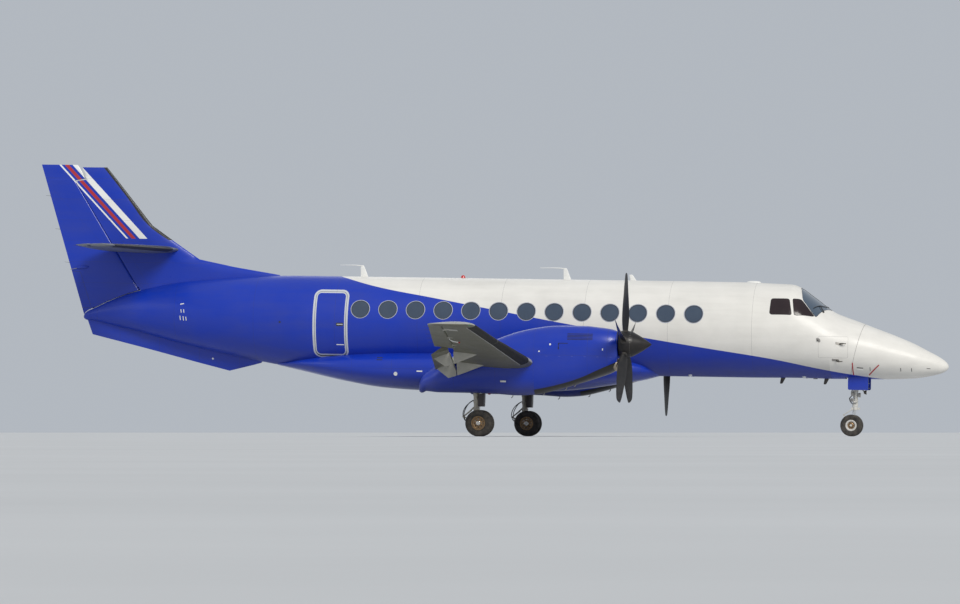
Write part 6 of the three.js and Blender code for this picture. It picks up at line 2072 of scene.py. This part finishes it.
def skin_strip(a, b, side, w, up, n=14, sink=0.004):
    """narrow stripe lying on the skin from (x, z) to (x, z)"""
    a, b = np.array(a, float), np.array(b, float)
    across = np.array([-(b - a)[1], (b - a)[0]])
    across *= w / 2 / np.linalg.norm(across)
    rings = []
    for t in np.linspace(0, 1, n):
        c = lerp(a, b, t)
        e = [on_skin(c + across * k, side) for k in (1, 0, -1)]
        m = skin_normal(e[1])
        rings.append([e[0] + m * up, e[1] + m * (up + 0.0004), e[2] + m * up, e[2] - m * sink, e[1] - m * sink, e[0] - m * sink])
    return loft(rings)


marks_dark, marks_light, marks_red = [], [], []
for s in (1, -1):
    for x_ in (-0.95, -0.73):
        marks_dark.append(skin_plate(x_, -0.78, s, 0.012, 0.085, 0.004))
    marks_dark.append(skin_plate(-0.39, -0.745, s, 0.075, 0.010, 0.004))
    marks_dark.append(skin_plate(-1.575, -0.775, s, 0.010, 0.10, 0.004))
    marks_dark.append(skin_plate(-1.78, -0.755, s, 0.13, 0.018, 0.005))
    marks_light.append(skin_plate(-1.79, -0.79, s, 0.13, 0.024, 0.007))
    marks_red.append(skin_strip((-1.93, -0.655), (-1.93, -0.905), s, 0.022, 0.003))
    marks_red.append(skin_strip((-1.39, -0.69), (-1.61, -0.90), s, 0.022, 0.003))
    marks_dark.append(skin_plate(-13.9, 0.0, s, 0.04, 0.04, 0.003))
    # small vents and drains on the rear fuselage
    for x_, z_, h_ in ((-16.08, 0.205, 0.07), (-16.02, 0.205, 0.07), (-16.10, 0.06, 0.09), (-16.03, 0.05, 0.09), (-15.97, 0.045, 0.08)):
        marks_light.append(skin_strip((x_, z_ + h_ / 2), (x_ + 0.01, z_ - h_ / 2), s, 0.016, 0.003, n=5))
    marks_light.append(skin_strip((-16.10, 0.345), (-16.02, 0.36), s, 0.020, 0.003, n=5))
make("nose_side_marks", *join_parts(marks_dark), SEAL, "airframe", smooth=40)
make("nose_vent_bars", *join_parts(marks_light), AERIAL, "airframe", smooth=40)
make("tow_limit_lines", *join_parts(marks_red), REDM, "airframe", smooth=40)
probes, plates = [], []
for s in (1, -1):
    for x_, z_ in ((-2.18, -0.27), (-2.25, -0.61)):
        p, t, b, n_ = skin_frame(x_, z_, s)
        plates.append(skin_plate(x_ - 0.02, z_, s, 0.15, 0.055, 0.003))
        path = smooth_path([p - n_ * 0.01, p + n_ * 0.03 + t * 0.005, p + n_ * 0.055 + t * 0.03, p + n_ * 0.06 + t * 0.12], 18)
        probes.append(tube(path, list(np.linspace(0.015, 0.0085, 18)), 14))
    p, t, b, n_ = skin_frame(-2.62, -0.20, s)
    plates.append(skin_plate(-2.62, -0.20, s, 0.09, 0.09, 0.003, r=0.044))
    probes.append(turned([(0, 0), (0.012, 0), (0.012, 0.02), (0.006, 0.05), (0, 0.05)], p, p + n_ - t * 0.6, 14))
make("air_probes", *join_parts(probes), DARKM, "airframe", smooth=40)
make("probe_plates", *join_parts(plates), STEEL, "airframe", smooth=40)

# wipers on the windscreens
wip = []
for s in (1, -1):
    q = COCKPIT["windscreen"]
    base_ = pane_points(q, np.array([0.62, -0.05]), s, 0.012)
    wip.append(turned([(0, -0.02), (0.022, -0.02), (0.022, 0.012), (0.016, 0.02), (0, 0.02)], base_ - skin_normal(base_) * 0.008, base_ + skin_normal(base_), 20))
    wip.append(tube([pane_points(q, np.array([lerp(0.16, 0.84, t), lerp(0.10, 0.32, t)]), s, 0.008) for t in np.linspace(0, 1, 22)], 0.007, 10))
    wip.append(tube([pane_points(q, np.array([lerp(0.62, 0.5, t), lerp(-0.05, 0.215, t)]), s, 0.016) for t in np.linspace(0, 1, 12)], 0.0085, 10))
make("windscreen_wipers", *join_parts(wip), SEAL, "airframe", smooth=40)

# lights: belly, roof, tail
lamps = []
for x_, y_, z_ in ((-5.34, -0.26, -0.955), (-2.97, -0.21, -0.965), (-5.34, 0.26, -0.955), (-2.97, 0.21, -0.965)):
    p = np.array([x_, y_, z_])
    zc, hz, hy = body_section(x_)
    p = on_skin(np.array([x_, float(zc) - float(hz) * math.sqrt(1 - (y_ / float(hy)) ** 2)]), 1 if y_ > 0 else -1)
    n_ = skin_normal(p)
    lamps.append(turned([(0, -0.01), (0.04, -0.01), (0.04, 0.004), (0.034, 0.02), (0.02, 0.033), (0, 0.038)], p, p + n_, 32))
make("belly_lights", *join_parts(lamps), LENS, "airframe", smooth=50)
make("top_beacon", *turned([(0, 0), (0.05, 0), (0.048, 0.02), (0.036, 0.05), (0.02, 0.064), (0, 0.068)], [-10.2, 0, 0.984], [-10.2, 0, 2], 40), REDLENS, "airframe", smooth=50)
make("belly_beacon", *turned([(0, 0), (0.05, 0), (0.048, 0.02), (0.036, 0.05), (0.02, 0.064), (0, 0.068)], [-9.6, 0, -1.37], [-9.6, 0, -2], 40), REDLENS, "airframe", smooth=50)
make("tail_light", *turned([(0, 0), (0.03, 0), (0.028, 0.01), (0.018, 0.02), (0, 0.024)], [-18.27, 0, 0.067], [-19, 0, 0.1], 32), LENS, "airframe", smooth=50)

# wing tip lights, vent tubes, wicks
wt, gl, wk = [], [], []
for y_ in (9.02,):
    le = wing_at(y_)[0]
    p = np.array([le - 0.10, y_ + 0.045, chord_z(y_) + 0.008])
    gl.append(p)
tube_ = tube(smooth_path([[-9.29, 7.0, -0.31], [-9.22, 7.0, -0.385], [-9.07, 7.0, -0.426]], 14), 0.014, 14)
tip_ = tube([[-9.07, 7.0, -0.426], [-9.035, 7.0, -0.434]], 0.0145, 14)
strut = tube([[-9.2, 7.0, -0.33], [-9.2, 7.0, -0.39]], 0.01, 12)
mirrored("wing_vent_tube", join_parts([tube_, strut]), AERIAL, "airframe", smooth=50)
mirrored("wing_vent_tip", tip_, REDM, "airframe", smooth=50)
for tag, s, m in (("left", 1, REDLENS), ("right", -1, GREENLENS)):
    p = gl[0]
    part = turned([(0, 0), (0.022, 0.0), (0.03, 0.03), (0.03, 0.09), (0.02, 0.13), (0, 0.15)], p + [0.055, 0, 0], p - [1, -0.05, 0], 28)
    make("wing_tip_light_" + tag, *(part if s > 0 else flip_y(part)), m, "airframe", smooth=50)


def wick(p, d=(-1, 0, 0), L=0.11):
    p, d = np.asarray(p, float), np.asarray(d, float)
    d = d / np.linalg.norm(d)
    return turned([(0, -0.006), (0.004, -0.006), (0.0045, 0.02), (0.0025, 0.03), (0.002, L), (0, L)], p, p + d, 8)


for tag, s in (("left", 1), ("right", -1)):
    w = [wick([wing_at(y_)[1] + 0.004, y_, chord_z(y_)]) for y_ in (6.4, 7.0, 7.6, 8.2, 8.7)]
    part = join_parts(w)
    make("aileron_wicks_" + tag, *(part if s > 0 else flip_y(part)), HOSE, "aileron_" + tag, smooth=40)
    w = [wick([tail_row(y_)[3] + 0.004, y_, TAIL_Z]) for y_ in (1.6, 2.2, 2.8)]
    part = join_parts(w)
    make("elevator_wicks_" + tag, *(part if s > 0 else flip_y(part)), HOSE, "elevator_" + tag, smooth=40)
make("rudder_wicks", *join_parts([wick([RTE(z_) + 0.004, 0, z_], (-1, 0, 0.1)) for z_ in (1.2, 1.9, 2.6)]), HOSE, "rudder", smooth=40)

# hinge brackets under the wing
br = []
for y_ in (6.3, 7.4, 8.5):
    h = aileron_hinge(y_)
    br.append(loft([[[h[0] + 0.18, y_ + a, h[2] - 0.055], [h[0] + 0.058, y_ + a, h[2] - 0.072], [h[0] + 0.058, y_ + a, h[2] - 0.035], [h[0] + 0.18, y_ + a, h[2] - 0.03]] for a in (-0.008, 0.008)]))
mirrored("aileron_brackets", join_parts(br), FAIRP, "airframe", smooth=None)

# ------------------------------------------------------------------ nacelle details
def nac_point(x, a, off=0.0):
    """point on the nacelle skin; a in degrees, 0 outboard, 90 up"""
    t, b, h, p = sampled(NACELLE, [x])[0][1:]
    e = 2 / p
    c, s = math.cos(math.radians(a)), math.sin(math.radians(a))
    y = (h + off) * math.copysign(abs(c) ** e, c)
    z = (t + b) / 2 + ((t - b) / 2 + off) * math.copysign(abs(s) ** e, s)
    return np.array([x, NAC_Y + y, z])


def nac_angle(x, z):
    t, b, h, p = sampled(NACELLE, [x])[0][1:]
    k = max(-1.0, min(1.0, (z - (t + b) / 2) / ((t - b) / 2)))
    return math.degrees(math.asin(math.copysign(abs(k) ** (p / 2), k)))


def nac_patch(x0, x1, z0, z1, up, sink=0.004, inboard=False):
    """thin plate on the nacelle side"""
    pts = []
    for off in (-sink, up):
        ring = []
        for x, z in [(lerp(x0, x1, t), z0) for t in np.linspace(0, 1, 7)] + [(x1, lerp(z0, z1, t)) for t in np.linspace(0, 1, 5)[1:]] + [(lerp(x1, x0, t), z1) for t in np.linspace(0, 1, 7)[1:]] + [(x0, lerp(z1, z0, t)) for t in np.linspace(0, 1, 5)[1:-1]]:
            p = nac_point(x, nac_angle(x, z), off)
            if inboard:
                p[1] = 2 * NAC_Y - p[1]
            ring.append(p)
        pts.append(ring)
    return loft(pts)


lou, scoops, pale = [], [], []
# dark strips for the louvre slots are painted shade; the L-shaped strips below are dark joint lines
for k in range(5):
    lou.append(nac_patch(-7.44, -6.92, -0.30 + k * 0.028, -0.288 + k * 0.028, 0.0015))
for ib in (False, True):
    lou.append(nac_patch(-7.62, -7.60, -0.50, -0.37, 0.0015, inboard=ib))
    lou.append(nac_patch(-7.60, -7.42, -0.382, -0.37, 0.0015, inboard=ib))
    pale.append(nac_patch(-7.80, -7.765, -0.42, -0.385, 0.004, inboard=ib))
    pale.append(nac_patch(-8.02, -7.99, -0.56, -0.535, 0.004, inboard=ib))
    pale.append(nac_patch(-6.72, -6.70, -0.51, -0.47, 0.004, inboard=ib))
pale.append(nac_patch(-8.8, -8.68, -1.18, -1.15, 0.012))
mirrored("cowl_louvres", join_parts(lou), SHADE_BLACK, "airframe", smooth=None)
mirrored("cowl_lights", join_parts(pale), AERIAL, "airframe", smooth=None)
# small pipes below the cowl
drains = [tube(smooth_path([[x_, NAC_Y + y_, z_ + 0.03], [x_, NAC_Y + y_, z_ - 0.025], [x_ - 0.03, NAC_Y + y_, z_ - 0.05]], 10), 0.009, 10) for x_, y_, z_ in ((-7.3, 0.06, -1.205), (-7.5, -0.05, -1.27), (-7.95, 0.02, -1.39), (-8.6, 0.0, -1.452))]
mirrored("cowl_drains", join_parts(drains), STEEL, "airframe", smooth=50)
# ring behind the spinner
plate = turned([(0, 0), (0.255, 0), (0.268, 0.004), (0.268, 0.02), (0, 0.02)], [-6.456, NAC_Y, PROP_Z], [-6.0, NAC_Y, PROP_Z], 72)
mirrored("spinner_backplate", plate, DARKM, "airframe", smooth=40)

# belly fairing details
def belly_point(x, z, off=0.0):
    t, b, h, p = sampled(BELLY, [x])[0][1:]
    k = (z - (t + b) / 2) / ((t - b) / 2 + off)
    y = (h + off) * (1 - abs(k) ** p) ** (1 / p)
    return np.array([x, y, z])


def belly_patch(x0, x1, z0, z1, up, sink=0.004, round_=False):
    pts = []
    for off in (-sink, up):
        if round_:
            cx, cz, rx, rz = (x0 + x1) / 2, (z0 + z1) / 2, (x1 - x0) / 2, (z1 - z0) / 2
            ring = [belly_point(cx + rx * math.cos(a), cz + rz * math.sin(a), off) for a in np.arange(28) / 28 * 2 * math.pi]
        else:
            ring = [belly_point(x, z, off) for x, z in [(lerp(x0, x1, t), z0) for t in np.linspace(0, 1, 5)] + [(lerp(x1, x0, t), z1) for t in np.linspace(0, 1, 5)]]
        pts.append(ring)
    return loft(pts)


mirrored("belly_caps", join_parts([belly_patch(-11.44, -11.36, -1.08, -1.0, 0.003, round_=True), belly_patch(-10.95, -10.83, -0.99, -0.965, 0.004)]), AERIAL, "airframe", smooth=None)
# dark plates standing for the shaded insides of small inlets: painted shade
mirrored("belly_inlets", join_parts([belly_patch(-11.82, -11.70, -0.76, -0.70, 0.002), belly_patch(-8.1, -7.9, -1.0, -0.985, 0.002)]), SEAL, "airframe", smooth=None)

# flat-faced jacking pads, one under the nose and one under each wing
pad = [(0, 0), (0.040, 0), (0.045, 0.005), (0.045, 1.0), (0, 1.0)]
jack = lambda x, y, z, up: turned([(r, min(h, up)) for r, h in pad], [x, y, z], [x, y, z + 1], 36)
make("jack_pad_nose", *jack(-2.76, 0, -1.0, 0.16), STEEL, "airframe", smooth=40)
mirrored("jack_pad_wing", jack(-8.9, 2.3, -1.115, 0.15), STEEL, "airframe", smooth=40)

# door handles
hd, hb = [], []
for name, side, x_, z_, body in (("rear_door", -1, -12.62, -0.03, "rear_door"), ("passenger_door", 1, -4.10, -0.02, "passenger_door"), ("baggage_door", 1, -13.5, -0.40, "baggage_door")):
    recess = skin_plate(x_, z_, side, 0.16, 0.07, 0.0012, r=0.03)
    bar_ = skin_plate(x_ + 0.004, z_, side, 0.13, 0.022, 0.010, r=0.01, sink=0.0005)
    make(name + "_handle_plate", *recess, SEAL, body, smooth=40)
    make(name + "_handle", *bar_, CHROME, body, smooth=40, slot="gear_steel")
make("rear_door_mark", *skin_plate(-12.62, -0.45, -1, 0.16, 0.02, 0.0012), AERIAL, "rear_door", smooth=40)

# steps and rails inside the passenger door
steps, rails = [], []
for z_ in (-0.46, -0.20, 0.06, 0.32):
    y_ = float(skin_y(-4.35, z_, -0.06))
    steps.append(box_part(-4.62, -4.08, y_ - 0.14, y_ + 0.006, z_ - 0.012, z_ + 0.012))
for x_ in (-4.655, -4.045):
    rails.append(box_part(x_ - 0.008, x_ + 0.008, 0.66, float(skin_y(x_, -0.30, -0.06)) + 0.004, -0.34, -0.30))
    path = [[x_, float(skin_y(x_, z_, -0.06)) - 0.11, z_] for z_ in np.linspace(-0.5, 0.45, 14)]
    path = [[x_, float(skin_y(x_, -0.5, -0.06)) + 0.004, -0.5]] + path + [[x_, float(skin_y(x_, 0.45, -0.06)) + 0.004, 0.45]]
    rails.append(tube(path, 0.010, 12))
o = make("passenger_door_steps", *join_parts(steps), STEEL, "passenger_door", smooth=None, slot="gear_steel")
make("passenger_door_rails", *join_parts(rails), CHROME, "passenger_door", smooth=50, slot="gear_steel")


# ------------------------------------------------------------------ floor, light and camera
def floor_material():
    m, nt, bs = new_material("floor")
    n = Nodes(nt)
    n.coords()
    f = n.noise(0.35, 6, 0.6)
    n.link(n.mix(n.step(f, 0.3, 0.7), (0.55, 0.56, 0.57), (0.59, 0.60, 0.61)), bs.inputs["Base Color"])
    bs.inputs["Roughness"].default_value = 0.9
    return m


R_FLOOR = 260.0
fv = [[R_FLOOR * math.cos(a), R_FLOOR * math.sin(a), 0.0] for a in np.arange(64) / 64 * 2 * math.pi]
floor = make("floor", fv, [list(range(64))], floor_material(), packed=True, recalc=False)
floor.location.z = -0.001
floor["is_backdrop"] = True

world = bpy.data.worlds.new("world")
bpy.context.scene.world = world
world.use_nodes = True
wn = world.node_tree
bg = wn.nodes["Background"]
bg.inputs[0].default_value = (0.80, 0.86, 0.94, 1)
bg.inputs[1].default_value = 0.56
bpy.context.scene.view_settings.view_transform = "Standard"


def area(name, at, to, size, power, colour=(1, 1, 1)):
    l = bpy.data.lights.new(name, "AREA")
    l.shape, l.size, l.size_y, l.energy, l.color = "RECTANGLE", size[0], size[1], power, colour
    o = bpy.data.objects.new(name, l)
    o.location = at
    o.rotation_euler = (Vector(to) - Vector(at)).to_track_quat("-Z", "Y").to_euler()
    bpy.context.scene.collection.objects.link(o)
    return o


sun = bpy.data.lights.new("key", "SUN")
sun.energy, sun.angle, sun.color = 2.3, math.radians(24), (1.0, 0.965, 0.90)
key = bpy.data.objects.new("key", sun)
key.rotation_euler = (-Vector((20, -30, 27))).to_track_quat("-Z", "Y").to_euler()
bpy.context.scene.collection.objects.link(key)
area("fill", (-30, -20, 14), (0, 0, 2), (16, 12), 700, (0.9, 0.95, 1.0))
area("rim", (-10, 30, 16), (0, 0, 2), (16, 10), 500, (0.95, 0.97, 1.0))

AZ, DIST, CAM_H = math.radians(9.5), 140.0, 0.12
eye = np.array([DIST * math.sin(AZ), -DIST * math.cos(AZ), CAM_H])
look = np.array([-math.sin(AZ), math.cos(AZ), 0.0])
side_ = np.array([math.cos(AZ), math.sin(AZ), 0.0])
cam_data = bpy.data.cameras.new("camera")
cam = bpy.data.objects.new("camera", cam_data)
bpy.context.scene.collection.objects.link(cam)
cam.location = eye
cam_data.sensor_fit, cam_data.sensor_width = "HORIZONTAL", 36.0
cam_data.clip_end = 1000
pts = []
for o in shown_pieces():
    pts.append(np.array([(o.matrix_world @ Vector(c))[:] for c in o.bound_box]))
pts = np.concatenate(pts) - eye
u, v = pts @ side_ / (pts @ look), pts[:, 2] / (pts @ look)
U0, U1 = u.min(), u.max()
WIDE = (U1 - U0) * 960 / (952 - 41)
cam_data.lens = 36.0 / WIDE
# the camera looks up a little, far enough off for uprights to stay upright
mid_u = (U0 + U1) / 2 + WIDE * (480 - 496.5) / 960
mid_v = (v.min() + v.max()) / 2 - WIDE * 2 / 960
cam.rotation_euler = Vector(look + mid_u * side_ + np.array([0, 0, mid_v])).to_track_quat("-Z", "Y").to_euler()
bpy.context.scene.camera = cam
